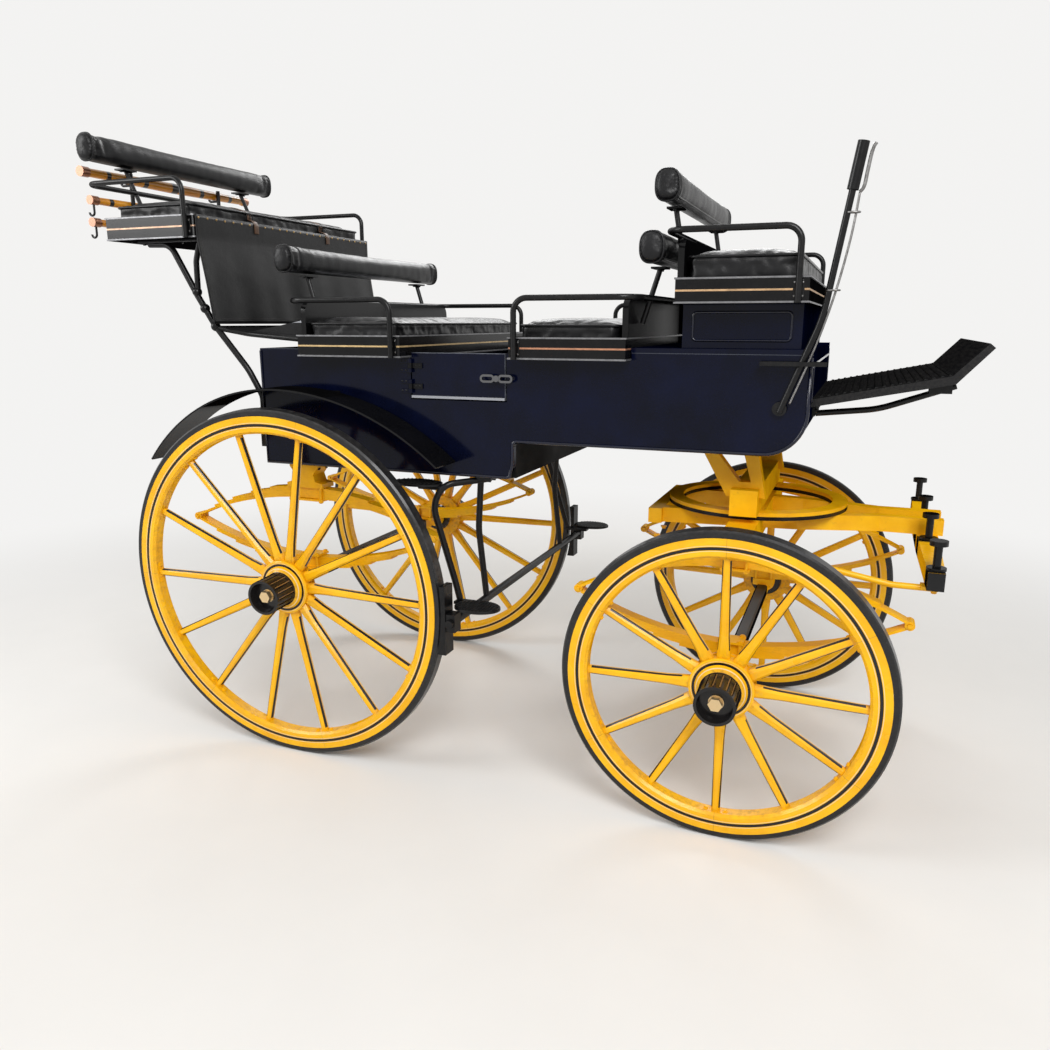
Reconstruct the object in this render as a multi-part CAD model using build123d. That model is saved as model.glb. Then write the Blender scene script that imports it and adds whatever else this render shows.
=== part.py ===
from build123d import *
from math import atan2, cos, degrees, radians, sin, sqrt, tan
import os

# A four-in-hand brake: an open carriage with four crosswise seats on two axles.
# Lengths are in millimetres. While modelling, x runs forward from the rear axle,
# y to the left and z up from the ground. The last section moves the origin to the
# middle of the carriage at ground level.

# Wheels and axles
wheelbase = 1538
body_half = 500         # outer faces of the body's sides
camber = 2.9            # degrees, each wheel leans out at the top
dish = 3.0              # degrees, the spokes lean out from hub to rim
rear_radius = 635
front_radius = 493
rear_face_y = body_half + 173.5     # outer face of the rim at hub height
front_face_y = body_half + 159
rear_spokes = 14
front_spokes = 12
rim_width = 50
rim_depth = 60
tyre_width = 46
tyre_depth = 23
spoke_foot = 44         # width of a spoke where the feet wedge together
spoke_neck = 29
spoke_depth = 32
spoke_tip = 25
foot_radius = 94
neck_radius = 165
hub_back = 75           # from the spokes' middle plane to the back of the hub
barrel_radius = 48
foot_half = 19          # half thickness of the ring of spoke feet
flange_radius = 97
flange_depth = 9
collar_radius = 78
collar_depth = 16
cap_radius = 61
cap_length = 113
cap_recess = 28
cap_wall = 9
flute_count = 18
flute_width = 7
flute_depth = 3.5
nut_size = 42
arm_radius = 19
running_clearance = 0.05
bed_size = 42           # square axle bed
shoulder_radius = 38
shoulder_depth = 20
shoulder_gap = 2

# Springs, full elliptic, one pair on each axle
spring_y = body_half - 50
leaf_count = 5
leaf_depth = 8
leaf_width = 45
eye_radius = 14
eye_bolt_radius = 7
eye_gap = 0.4
rear_spring_half = 515
rear_spring_rise = 150
front_spring_half = 500
front_spring_rise = 163
rear_axle_drop = 181    # from the wheel's radius up to the eyes of the springs
front_axle_drop = 206
rear_eye_z = rear_radius + rear_axle_drop
front_eye_z = front_radius + front_axle_drop
rear_spring_top = rear_eye_z + rear_spring_rise
front_spring_top = front_eye_z + front_spring_rise
leaf_step = 0.17        # each next leaf is shorter by this share of the main leaf
spring_block_length = 150
spring_block_width = 72
spring_block_height = 86
clip_plate = 7
clip_bolt = 5
clip_gap = 2

# Body
panel = 22
body_rear = -145
body_bottom = rear_spring_top + spring_block_height
body_height = 408
body_top = body_bottom + body_height
well_front = wheelbase - 738
cut_under_rise = 120
cut_under_z = body_bottom + cut_under_rise
door_rear = 456
door_bottom = body_top - 155
door_top = body_top - 8
door_gap = 5
boot_front = wheelbase + 182
boot_curve = 120

low_step_drop = 410     # from the body's underside to the lower tread
wing_room = 55          # between the tyre and the mudguard
wing_width = 140
wing_thickness = 6

# Seats
seat_overhang = 60
frame_half = body_half + seat_overhang
frame_wall = 18
frame_floor = 12
bead = 5
cushion_gap = 5
rail_radius = 9
rail_bend = 42
rail_corner = 60
post_radius = 8
seat_gap = 0.3

# Turntable
ring_outer = 300
ring_inner = 252
ring_depth = 12
fore_bed_depth = 73
upper_bed_depth = 82.7
fore_bed_top = front_spring_top + fore_bed_depth
king_pin_radius = 16
fork_y = 300
fork_width = 44
fork_reach = 170
futchell_width = 42
futchell_depth = 50
splinter_x = wheelbase + 547
splinter_half = 560
splinter_width = 62
splinter_depth = 50
pole_pin_radius = 9
roller_radius = 11
roller_length = 62
stay_radius = 9

# Driver's footboard and the bars carried behind, at the two ends
footboard_tip = wheelbase + 638
carrier_x = -905
carrier_y = 250
carrier_radius = 8
hook_radius = 5
hook_room = 2
bar_taper = 6           # each bar loses this much radius from its middle to its end


def block(x0, x1, y0, y1, z0, z1):
    """A box between two corners."""
    middle = ((x0 + x1) / 2, (y0 + y1) / 2, (z0 + z1) / 2)
    return Pos(*middle) * Box(abs(x1 - x0), abs(y1 - y0), abs(z1 - z0))


def side_plate(face, y_middle, thickness):
    """A sketch in (x, z) made into a plate square to y."""
    plate = extrude(Plane.XZ * face, amount=thickness / 2, both=True)
    return Pos(0, y_middle, 0) * plate


def outline(*points):
    return make_face(Polyline(*points, close=True))


def face_inside(*curves):
    """A face bounded by lines and arcs given in any order."""
    return make_face([edge for curve in curves for edge in curve.edges()])


def bar(points, radius, bends):
    """A round bar along straight runs joined by arcs."""
    path = FilletPolyline(*points, radius=bends)
    section = Plane(origin=path @ 0, z_dir=path % 0) * Circle(radius)
    return sweep(section, path=path)


def round_bar(start, end, radius):
    way = Vector(*end) - Vector(*start)
    return extrude(Plane(origin=start, z_dir=way) * Circle(radius), amount=way.length)


def other_side(shape):
    return mirror(shape, about=Plane.XZ)


def both_sides(shape):
    return Compound(children=[shape, other_side(shape)])


# Wheels: modelled about z with z pointing out of the carriage

def dish_offset(radius):
    return (radius - tyre_depth - rim_depth) * tan(radians(dish))


def hub_place(face_y, radius):
    """Middle of the ring of spoke feet on the right side, as (y, z)."""
    rim_y = face_y - rim_width / 2
    offset = dish_offset(radius)
    y = -(rim_y - offset * cos(radians(camber)))
    z = radius * cos(radians(camber)) + offset * sin(radians(camber))
    return y, z


def octagon(width, depth):
    corner = min(width, depth) * 0.28
    x, y = width / 2, depth / 2
    return outline(
        (x - corner, -y), (x, -y + corner), (x, y - corner), (x - corner, y),
        (-x + corner, y), (-x, y - corner), (-x, -y + corner), (-x + corner, -y))


def spoke(radius):
    tip_radius = radius - tyre_depth - rim_depth + 4
    slope = dish_offset(radius) / tip_radius
    # distance from the axis, width round the wheel, depth along the axis
    stations = (
        (foot_radius - 12, spoke_foot * 0.93, 2 * foot_half - 6),
        (neck_radius, spoke_neck, spoke_depth),
        (tip_radius, spoke_tip, spoke_depth - 8),
    )
    spans = []
    for inner, outer in zip(stations, stations[1:]):
        sections = []
        for distance, width, depth in (inner, outer):
            height = slope * (distance - stations[0][0])
            place = Plane(origin=(distance, 0, height), x_dir=(0, 1, 0), z_dir=(1, 0, 0))
            sections.append(place * octagon(width, depth))
        spans.append(loft(sections, ruled=True))
    return spans[0] + spans[1]


def wheel_rim(radius, spokes):
    """Felloe ring, spokes and the ring of their feet."""
    outer = radius - tyre_depth
    inner = outer - rim_depth
    half = rim_width / 2
    edge = 8
    offset = dish_offset(radius)
    section = Pos(0, offset) * outline(
        (inner + edge, -half), (outer, -half), (outer, half),
        (inner + edge, half), (inner, half - edge), (inner, -half + edge))
    felloe = revolve(Plane.XZ * section, axis=Axis.Z)
    feet = Cylinder(foot_radius, 2 * foot_half) - Cylinder(barrel_radius + 0.3, 4 * foot_half)
    one = spoke(radius)
    return felloe + feet + [Rot(0, 0, 360 * number / spokes) * one for number in range(spokes)]


def wheel_tyre(radius):
    """Tread coned so that it lies flat on the ground under the leaning wheel."""
    half = tyre_width / 2
    seat = radius - tyre_depth + seat_gap
    edge = 6
    lean = (half - edge) * tan(radians(camber))
    section = Pos(0, dish_offset(radius)) * outline(
        (seat, -half), (radius + lean - edge, -half), (radius + lean, -half + edge),
        (radius - lean, half - edge), (radius - lean - edge, half), (seat, half))
    return revolve(Plane.XZ * section, axis=Axis.Z)


def wheel_hub():
    """Flanged hub with its fluted black cap, on a plain bore."""
    face = foot_half + flange_depth
    cap_start = face + collar_depth
    cap_end = face + cap_length
    bore = arm_radius + running_clearance
    section = outline(
        (bore, -hub_back), (58, -hub_back), (62, -hub_back + 14), (54, -hub_back + 22),
        (54, -foot_half - flange_depth - 6), (flange_radius, -foot_half - flange_depth),
        (flange_radius, -foot_half - seat_gap), (barrel_radius, -foot_half - seat_gap),
        (barrel_radius, foot_half + seat_gap), (flange_radius, foot_half + seat_gap),
        (flange_radius, face - 2), (flange_radius - 4, face), (collar_radius, face),
        (collar_radius - 5, face + collar_depth * 0.6), (cap_radius, cap_start),
        (cap_radius, cap_end), (cap_radius - cap_wall, cap_end),
        (cap_radius - cap_wall - 3, cap_end - cap_recess), (0, cap_end - cap_recess),
        (0, cap_end - cap_recess - 14), (bore, cap_end - cap_recess - 14))
    hub = revolve(Plane.XZ * section, axis=Axis.Z)
    flute_length = cap_length - collar_depth - 14
    flute = Pos(cap_radius, 0, cap_start + 4 + flute_length / 2) * Box(
        2 * flute_depth, flute_width, flute_length)
    hub -= [Rot(0, 0, 360 * number / flute_count) * flute for number in range(flute_count)]
    nut = extrude(RegularPolygon(nut_size / 2, 6), amount=20)
    return hub + Pos(0, 0, cap_end - cap_recess) * nut


def axle(face_y, radius, seat_z):
    """Square bed with seats for the springs, shoulders and leaning round arms."""
    hub_y, hub_z = hub_place(face_y, radius)
    lean = Location((0, hub_y, hub_z), (90 + camber, 0, 0))
    shoulder = -hub_back - shoulder_gap
    arm_end = foot_half + flange_depth + cap_length - cap_recess - 16
    arm = Pos(0, 0, (shoulder + arm_end) / 2) * Cylinder(arm_radius, arm_end - shoulder)
    collar = Pos(0, 0, shoulder - shoulder_depth / 2) * Cylinder(shoulder_radius, shoulder_depth)
    arms = lean * (arm + collar)
    bed_y = -hub_y - hub_back - shoulder_gap - shoulder_depth / 2
    bed_z = hub_z + (-hub_y - bed_y) * tan(radians(camber))
    half = bed_size / 2
    bed = block(-half, half, -bed_y, bed_y, bed_z - half, bed_z + half)
    bed = chamfer(bed.edges().filter_by(Axis.Y), 6)
    beam = bed + arms + other_side(arms)
    for side in (-1, 1):
        beam += block(-half - 18, half + 18, side * spring_y - 36, side * spring_y + 36,
                      bed_z + half - 8, seat_z)
    return beam + clips(0, seat_z, 1, half + 8)


# Springs: each half is a stack of leaves bent to one centre

def leaf(inner, outer, reach):
    """Band between two arcs about the origin, to a half length of reach."""
    spread = degrees(atan2(reach, sqrt(inner ** 2 - reach ** 2)))
    arcs = [CenterArc((0, 0), r, 270 - spread, 2 * spread) for r in (inner, outer)]
    ends = [Line(arcs[0] @ end, arcs[1] @ end) for end in (0, 1)]
    return face_inside(*arcs, *ends)


def half_spring(half, rise, bolts):
    """Lower half, its eyes on z = 0; bolts puts the eye bolts on it."""
    drop = rise - leaf_count * leaf_depth
    radius = (half ** 2 + drop ** 2) / (2 * drop)
    stack = None
    for number in range(leaf_count):
        inner = radius + number * leaf_depth
        reach = half * (1 - leaf_step * number) - (0 if number else 2)
        band = Pos(0, radius - drop) * leaf(inner, inner + leaf_depth, reach)
        plate = side_plate(band, 0, leaf_width)
        stack = plate if stack is None else stack + plate
    middle = leaf_width / 6
    for end in (-half, half):
        eye = Pos(end, 0, 0) * Rot(90, 0, 0) * Cylinder(eye_radius, leaf_width)
        stack += eye
        if bolts:
            for side in (-1, 1):
                width = leaf_width / 2 - middle + 1
                cheek = Rot(90, 0, 0) * Cylinder(eye_radius + 1, width)
                stack -= Pos(end, side * (middle + width / 2), 0) * cheek
            stack += Pos(end, 0, 0) * Rot(90, 0, 0) * Cylinder(eye_bolt_radius, leaf_width + 14)
        else:
            slot = Rot(90, 0, 0) * Cylinder(eye_radius + 1, 2 * (middle + eye_gap))
            bore = Rot(90, 0, 0) * Cylinder(eye_bolt_radius + eye_gap, leaf_width + 2)
            stack -= Pos(end, 0, 0) * (slot + bore)
    return stack


def springs(x, eye_z, half, rise):
    lower = half_spring(half, rise, True)
    upper = mirror(half_spring(half, rise, False), about=Plane.XY)
    parts = []
    for side in (-1, 1):
        place = Pos(x, side * spring_y, eye_z)
        parts += [place * lower, place * upper]
    return Compound(children=parts)


def clips(x, seat_z, up, reach):
    """Bolts beside the leaves and the plate across them, up or down from a seat."""
    plate_z = seat_z + up * (leaf_count * leaf_depth + clip_gap)
    bolt_y = leaf_width / 2 + clip_bolt + 0.6
    parts = None
    for side in (-1, 1):
        y = side * spring_y
        edge = bolt_y + clip_bolt + 2
        plate = block(x - reach - 10, x + reach + 10, y - edge, y + edge,
                      plate_z, plate_z + up * clip_plate)
        parts = plate if parts is None else parts + plate
        for bolt_x in (x - reach, x + reach):
            for out in (-bolt_y, bolt_y):
                foot = (bolt_x, y + out, seat_z - up * 4)
                tip = (bolt_x, y + out, plate_z + up * (clip_plate + 7))
                nut = (bolt_x, y + out, plate_z + up * (clip_plate - 1))
                parts += round_bar(foot, tip, clip_bolt)
                hexagon = Plane(origin=nut, z_dir=(0, 0, up)) * RegularPolygon(9, 6)
                parts += extrude(hexagon, amount=6)
    return parts


def spring_blocks(x, spring_top, underside):
    """Blocks between the springs and what they carry, with the clips on the leaves."""
    length, width = spring_block_length / 2, spring_block_width / 2
    waist = spring_top + (underside - spring_top) * 0.55
    profile = outline(
        (x - length, spring_top), (x + length, spring_top), (x + length, spring_top + 16),
        (x + length * 0.62, spring_top + 22), (x + length * 0.5, waist),
        (x + length * 0.8, underside - 10), (x + length * 0.8, underside),
        (x - length * 0.8, underside), (x - length * 0.8, underside - 10),
        (x - length * 0.5, waist), (x - length * 0.62, spring_top + 22),
        (x - length, spring_top + 16))
    pair = None
    for side in (-1, 1):
        one = side_plate(profile, side * spring_y, 2 * width)
        pair = one if pair is None else pair + one
    return pair + clips(x, spring_top, -1, length - 14)


# Body

door_front = well_front - door_gap
middle_x0, middle_x1 = 60, 450
middle_z0, middle_z1 = body_top - 24, body_top + 48
front_x0, front_x1 = well_front + 30, well_front + 400
front_z0, front_z1 = body_top - 23, body_top + 45
box_x0, box_x1 = boot_front - 385, boot_front - 20
box_z0, box_z1 = body_top + 140, body_top + 212
hind_x0, hind_x1 = -735, -340
hind_z0, hind_z1 = body_top + 375, body_top + 453


def body_side():
    """One side with its door opening, well, cut-under and curved front."""
    lines = Polyline(
        (boot_front, cut_under_z + boot_curve), (boot_front, body_top),
        (front_x1 + 4, body_top), (front_x1 + 4, front_z0), (front_x0 - 3, front_z0),
        (front_x0 - 3, door_top), (well_front, door_top), (well_front, door_bottom - door_gap),
        (door_rear, door_bottom - door_gap), (door_rear, middle_z0), (middle_x0 - 3, middle_z0),
        (middle_x0 - 3, body_top), (body_rear, body_top), (body_rear, body_bottom),
        (well_front, body_bottom))
    under = FilletPolyline((well_front, body_bottom), (well_front + panel, body_bottom + 40),
                           (well_front + panel, cut_under_z),
                           (boot_front - boot_curve, cut_under_z), radius=16)
    curve = RadiusArc(under @ 1, lines @ 0, -boot_curve * 1.02)
    side = side_plate(face_inside(lines, under, curve), -body_half + panel / 2, panel)
    hinge_parts = door_hinges(True)
    return side + hinge_parts


hinge_x = door_rear + 3
hinge_y = -body_half - 8
knuckle_radius = 7
hinge_pin_radius = 3
hinge_levels = (door_bottom + 38, door_top - 42)
hinge_half = 22


def door_hinges(fixed):
    """The knuckles and leaves of one side, or the door's share of them."""
    parts = None
    for level in hinge_levels:
        # from, to, over the height of the hinge
        spans = ((-hinge_half, -9), (9, hinge_half)) if fixed else ((-8, 8),)
        for low, high in spans:
            height = high - low
            knuckle = Pos(hinge_x, hinge_y, level + (low + high) / 2) * Cylinder(
                knuckle_radius, height)
            end = hinge_x - 38 if fixed else hinge_x + 42
            plate = block(hinge_x, end, hinge_y + 3, -body_half + 0.5, level + low, level + high)
            parts = knuckle + plate if parts is None else parts + knuckle + plate
        if fixed:
            parts += Pos(hinge_x, hinge_y, level) * Cylinder(hinge_pin_radius, 2 * hinge_half)
    if not fixed:
        for level in hinge_levels:
            bore = hinge_pin_radius + running_clearance
            parts -= Pos(hinge_x, hinge_y, level) * Cylinder(bore, 2 * hinge_half)
    return parts


def door():
    """Door panel with its moulding, hinge knuckles and double loop handle."""
    leaf_panel = block(door_rear + door_gap, door_front, -body_half, -body_half + panel,
                       door_bottom, door_top)
    moulding = block(door_rear + door_gap, door_front, -body_half - 7, -body_half + 1,
                     door_bottom, door_bottom + 8)
    handle_x, handle_z = door_front - 22, body_top - 85
    pivot = Pos(handle_x, -body_half - 12, handle_z) * Rot(90, 0, 0) * Cylinder(10, 26)
    loops = None
    for side in (-1, 1):
        loop = SlotOverall(50, 26) - SlotOverall(36, 12)
        plate = side_plate(Pos(handle_x + side * 31, handle_z) * loop, -body_half - 20, 8)
        loops = plate if loops is None else loops + plate
    return leaf_panel + moulding + door_hinges(False) + pivot + loops


def floor():
    """Well floor, its front wall and the floor over the front wheels."""
    inside = body_half - panel
    rear = body_rear + panel
    front = boot_front - boot_curve
    profile = outline(
        (rear, body_bottom), (well_front + panel, body_bottom),
        (well_front + panel, cut_under_z), (front, cut_under_z),
        (front, cut_under_z + panel), (well_front, cut_under_z + panel),
        (well_front, body_bottom + panel), (rear, body_bottom + panel))
    return side_plate(profile, 0, 2 * inside)


def seat_risers():
    """Boards under the front edges of the two seats in the body."""
    inside = body_half - panel
    middle = block(middle_x1 - 40, middle_x1 - 22, -inside, inside,
                   body_bottom + panel + seat_gap, middle_z0)
    front = block(front_x0 + 5, front_x0 + 23, -inside, inside,
                  cut_under_z + panel + seat_gap, front_z0)
    return Compound(children=[middle, front])


def boot_panel():
    """Front panel, curved under at its foot like the sides."""
    foot, rise = boot_front - boot_curve + seat_gap, cut_under_z + boot_curve
    back = boot_front - panel
    under = RadiusArc((foot, cut_under_z), (boot_front, rise), -boot_curve * 1.02)
    above = RadiusArc((foot, cut_under_z + panel), (back, rise), -(boot_curve - panel) * 1.02)
    front = Polyline((boot_front, rise), (boot_front, body_top), (back, body_top), (back, rise))
    heel = Line((foot, cut_under_z), (foot, cut_under_z + panel))
    return side_plate(face_inside(under, above, front, heel), 0, 2 * (body_half - panel))


def box_riser():
    """Hollow pedestal that lifts the driver's seat, and the deck round it."""
    x0, x1, half = box_x0 + 10, box_x1 - 16, body_half - 40
    outer = block(x0, x1, -half, half, body_top, box_z0)
    inner = (x0 + 20, x1 - 20, -half + 20, half - 20)
    deck = block(front_x1 + 2, boot_front, -body_half, body_half, body_top, body_top + 14)
    return (outer + deck) - block(*inner, body_top - 1, box_z0 + 1)


def seat_frame(x0, x1, z0, z1, half, back_x, back_top):
    """Open tray with beads, and a low back board where back_x says."""
    tray = block(x0, x1, -half, half, z0, z1)
    tray -= block(x0 + frame_wall, x1 - frame_wall, -half + frame_wall, half - frame_wall,
                  z0 + frame_floor, z1 + 1)
    for level in (z0 + bead / 2, z1 - bead / 2):
        rim = block(x0 - 3, x1 + 3, -half - 3, half + 3, level - bead / 2, level + bead / 2)
        rim -= block(x0 + 2, x1 - 2, -half + 2, half - 2, level - bead, level + bead)
        tray += rim
    if back_top > z1:
        back = block(back_x, back_x + frame_wall, -half + 26, half - 26, z1 - 1, back_top)
        top = back.edges().filter_by(Axis.X).sort_by(Axis.Z)[-2:]
        tray += fillet(top, 40)
    return tray


def cushion(x0, x1, z0, top, half, back):
    """Plain closed pad that fills the tray; back keeps it off a back board."""
    inner = frame_wall + cushion_gap
    rear = inner + (back if back > 0 else 0)
    front = inner + (-back if back < 0 else 0)
    pad = block(x0 + rear, x1 - front, -half + inner, half - inner, z0 + frame_floor + 0.3, top)
    pad = fillet(pad.edges().filter_by(Axis.Z), 24)
    return chamfer(pad.faces().sort_by(Axis.Z)[-1].edges(), 10)


def bolster(x, z, half, depth, height):
    face = RectangleRounded(depth, height, depth / 2 - 2)
    roll = side_plate(Pos(x, z) * face, 0, 2 * half)
    ends = roll.faces().filter_by(Axis.Y)
    return chamfer(ends[0].edges() + ends[1].edges(), 14)


def rail(front_x, back_x, low, high, half):
    """Arm and back rail in one bar, its legs outside the tray."""
    out = half + 3 + rail_radius + seat_gap
    points = [
        (front_x, -out, low), (front_x, -out, high), (back_x, -out, high),
        (back_x, out, high), (front_x, out, high), (front_x, out, low)]
    bends = [rail_bend, rail_corner, rail_corner, rail_bend]
    return bar(points, rail_radius, bends)


def posts(foot_x, foot_z, head_x, head_z, spread, radius):
    """A pair of irons with flat heads under a bolster."""
    irons = None
    for side in (-1, 1):
        y = side * spread
        iron = round_bar((foot_x, y, foot_z), (head_x, y, head_z - 4), radius)
        iron += block(head_x - 22, head_x + 22, y - 34, y + 34, head_z - 6, head_z)
        irons = iron if irons is None else irons + iron
    return irons


# The hind seat stands out behind on irons

stay_y = body_half


def hind_stays():
    """Side irons that carry the hind seat and its footboard."""
    knee, neck, hip = body_top + 74, body_top + 137, body_top + 195
    main = bar([(-600, -stay_y, hind_z0 - 12), (-505, -stay_y, hind_z0 - 15),
                (-400, -stay_y, body_top + 180), (-331, -stay_y, knee),
                (-200, -stay_y, body_top - 76),
                (body_rear - 12, -stay_y + 14, body_top - 170),
                (body_rear - 12, -stay_y + 14, body_top - 340)],
               11, [60, 150, 150, 150, 60])
    strut = bar([(-372, -stay_y, hind_z0 - 4), (-395, -stay_y, body_top + 300),
                 (-398, -stay_y, body_top + 180)], 10, 60)
    edge = -(stay_y - 24 + 9 + seat_gap)
    branch = bar([(-331, -stay_y, body_top + 70), (-200, edge, body_top + 48),
                  (30, edge, body_top + 30)], 9, 200)
    collars = None
    for x, z in ((-402, hip), (-372, neck), (-331, knee)):
        ring = Pos(x, -stay_y, z) * Sphere(17)
        collars = ring if collars is None else collars + ring
    flange = block(-640, -360, -stay_y - 16, -stay_y + 16, hind_z0 - 9, hind_z0 - seat_gap)
    foot = block(body_rear - 22, body_rear - seat_gap, -stay_y + 2, -stay_y + 26,
                 body_top - 350, body_top - 210)
    return both_sides(main + strut + branch + collars + flange + foot)


def hind_footboard():
    """Board for the feet, rising to the rear, with its raised toe board."""
    inside = stay_y - 24
    board = outline((-345, body_top + 59), (-200, body_top + 39), (52, body_top + 22),
                    (52, body_top + 40), (-200, body_top + 57), (-345, body_top + 77))
    toe = outline((-205, body_top + 56), (38, body_top + 40), (38, body_top + 97),
                  (28, body_top + 97))
    return side_plate(board, 0, 2 * inside) + side_plate(toe, 0, 2 * inside - 20)


def hind_fall():
    """Leather fall below the front of the hind seat."""
    top, hem = hind_z0 - 0.5, body_top + 81
    profile = outline((-384, top), (-396, hem), (-388, hem), (-372, top))
    return side_plate(profile, 0, 2 * (stay_y - 30))


def wings():
    """Mudguards over the rear wheels, flatter towards the front."""
    centre = rear_radius
    inner = rear_radius + wing_room
    front_arc_radius = inner + 245
    front_centre = centre + inner - front_arc_radius
    rear_arc = CenterArc((0, centre), inner, 90, 52)
    front_arc = CenterArc((0, front_centre), front_arc_radius, 90, -41)
    rear_outer = CenterArc((0, centre), inner + wing_thickness, 90, 52)
    front_outer = CenterArc((0, front_centre), front_arc_radius + wing_thickness, 90, -41)
    face = face_inside(rear_arc, front_arc, rear_outer, front_outer,
                       Line(rear_arc @ 1, rear_outer @ 1), Line(front_arc @ 1, front_outer @ 1))
    sheet = side_plate(face, -body_half - 5 - wing_width / 2, wing_width)
    top = centre + inner
    sheet += block(120, 180, -body_half - 8, -body_half - seat_gap, top - 35, top - 5)
    return both_sides(sheet)


def oval_pad(x, y, z, length, width):
    face = Ellipse(length / 2, width / 2)
    pad = Pos(x, y, z) * extrude(face, amount=9)
    return chamfer(pad.edges().sort_by(Axis.Z)[-1:], 2)


def steps():
    """An upper and a lower oval tread on one bent iron, each side."""
    bottom = body_bottom
    side = -body_half - 60
    low = bottom - low_step_drop
    tread_x = beam_x + 78
    iron = bar([(708, -body_half + 50, bottom - 14), (600, side + 2, bottom - 22),
                (556, side, bottom - 92), (tread_x - 110, side, low + 58),
                (tread_x - 94, side - 2, low + 2)], 11, [50, 90, 200])
    flange = block(682, 734, -body_half + 15, -body_half + 75, bottom - 14, bottom - seat_gap)
    upper = oval_pad(500, side + 8, bottom - 28, 176, 104)
    arm = round_bar((505, side + 5, bottom - 34), (590, side + 2, bottom - 34), 9)
    lower = oval_pad(tread_x, side - 68, low, 156, 118)
    lug = block(tread_x - 104, tread_x - 1, side - 30, side + 8, low - 8, low + 1)
    return both_sides(iron + flange + upper + arm + lower + lug)


# Brake: blocks held off the rear tyres by a beam under the body

brake_gap = 10
beam_x = rear_radius + 33
beam_z = rear_radius - 35
beam_radius = 14
shoe_y = rear_face_y - 10.5
shoe_half = 29
hanger_y = spring_y - 55


def brake_gear():
    reach = shoe_y + 37
    beam = round_bar((beam_x + 8, -reach, beam_z), (beam_x + 8, reach, beam_z), beam_radius)
    for side in (-1, 1):
        y = side * hanger_y
        beam += bar([(beam_x - 8, y, body_bottom - 5), (beam_x - 20, y, beam_z + 250),
                     (beam_x + 8, y, beam_z)], 11, 300)
        beam += block(beam_x - 40, beam_x + 24, y - 22, y + 22, body_bottom - 10,
                      body_bottom - seat_gap)
    return beam


def brake_blocks():
    """Shoes with a face curved to the tyre, on the ends of the beam."""
    shoe = block(beam_x - 108, beam_x - 8, -shoe_y - shoe_half, -shoe_y + shoe_half,
                 beam_z - 110, beam_z + 122)
    reach = rear_radius + brake_gap
    shoe -= Pos(0, -shoe_y, rear_radius) * Rot(90, 0, 0) * Cylinder(reach, 200)
    carrier = block(beam_x - 9, beam_x + 24, -shoe_y - 25, -shoe_y + 21, beam_z - 30, beam_z + 30)
    carrier -= Pos(beam_x + 8, -shoe_y, beam_z) * Rot(90, 0, 0) * Cylinder(beam_radius + seat_gap, 200)
    return both_sides(shoe + carrier)


def brake_lever():
    """Hand lever in a slotted guide on the right of the driver's seat."""
    y = -body_half - 16
    x = boot_front - 80
    pivot_z = body_top - 150
    lever = bar([(x, y, pivot_z - 10), (x + 98, y, body_top + 100),
                 (x + 150, y, body_top + 440)], 9, 400)
    grip = round_bar((x + 148, y, body_top + 426), (x + 166, y, body_top + 544), 15)
    pivot = Pos(x, -body_half - 9, pivot_z) * Rot(90, 0, 0) * Cylinder(20, 18)
    guide = block(x - 60, x + 120, y - 17, y + 15.7, body_top - 30, body_top - 18)
    guide -= block(x - 40, x + 100, y - 9.4, y + 9.4, body_top - 35, body_top - 10)
    return lever + grip + pivot + guide


# Spare bars carried behind the hind seat

# height, half length, radius in the middle
lead_bar_table = ((body_top + 638, 470, 21), (body_top + 540, 440, 19),
                  (body_top + 460, 440, 19))


def bar_place(half, radius):
    """Axis x of a bar and its radius where it rests on the carriers."""
    seat = radius - bar_taper * carrier_y / half
    return carrier_x - carrier_radius - seat - seat_gap, seat


def lead_bars():
    parts = []
    for z, half, radius in lead_bar_table:
        x, seat = bar_place(half, radius)
        rod = None
        for side in (-1, 1):
            taper = Plane(origin=(x, 0, z), z_dir=(0, side, 0))
            cone = loft([taper * Circle(radius), taper.offset(half) * Circle(radius - bar_taper)])
            ferrule = taper.offset(half - 34) * Circle(radius - 2)
            end = cone + extrude(ferrule, amount=34)
            rod = end if rod is None else rod + end
        parts.append(rod)
    return Compound(children=parts)


def bar_irons():
    """Upright carriers with a hook under each bar, and the hooks at the bars' ends."""
    irons = []
    top = lead_bar_table[0][0] + 20
    for side in (-1, 1):
        y = side * carrier_y
        root = hind_z0 + 33
        iron = bar([(hind_x0 - 6, y, root), (carrier_x, y, root), (carrier_x, y, top)],
                   carrier_radius, 30)
        iron += block(hind_x0 - 9, hind_x0 - seat_gap, y - 20, y + 20, root - 22, root + 22)
        for z, half, radius in lead_bar_table:
            x, seat = bar_place(half, radius)
            drop = z - seat - hook_radius - seat_gap
            out = x - seat - hook_radius - hook_room
            iron += bar([(carrier_x, y, drop), (out, y, drop), (out, y, z - 2)], hook_radius, 12)
        irons.append(iron)
    for z, half, radius in lead_bar_table[1:]:
        x, seat = bar_place(half, radius)
        end_radius = radius - 2
        for side in (-1, 1):
            y = side * (half - 17)
            low = z - end_radius - 26
            stem = Line((x, y, z - end_radius - seat_gap), (x, y, low))
            curl = ThreePointArc(stem @ 1, (x - 12, y, low - 12), (x - 24, y, low))
            path = Wire([*stem.edges(), *curl.edges()])
            section = Plane(origin=path @ 0, z_dir=path % 0) * Circle(4)
            irons.append(sweep(section, path=path))
    return Compound(children=irons)


# Driver's footboard

footboard_heel = body_top - 150
footboard_toe = body_top - 76


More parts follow.
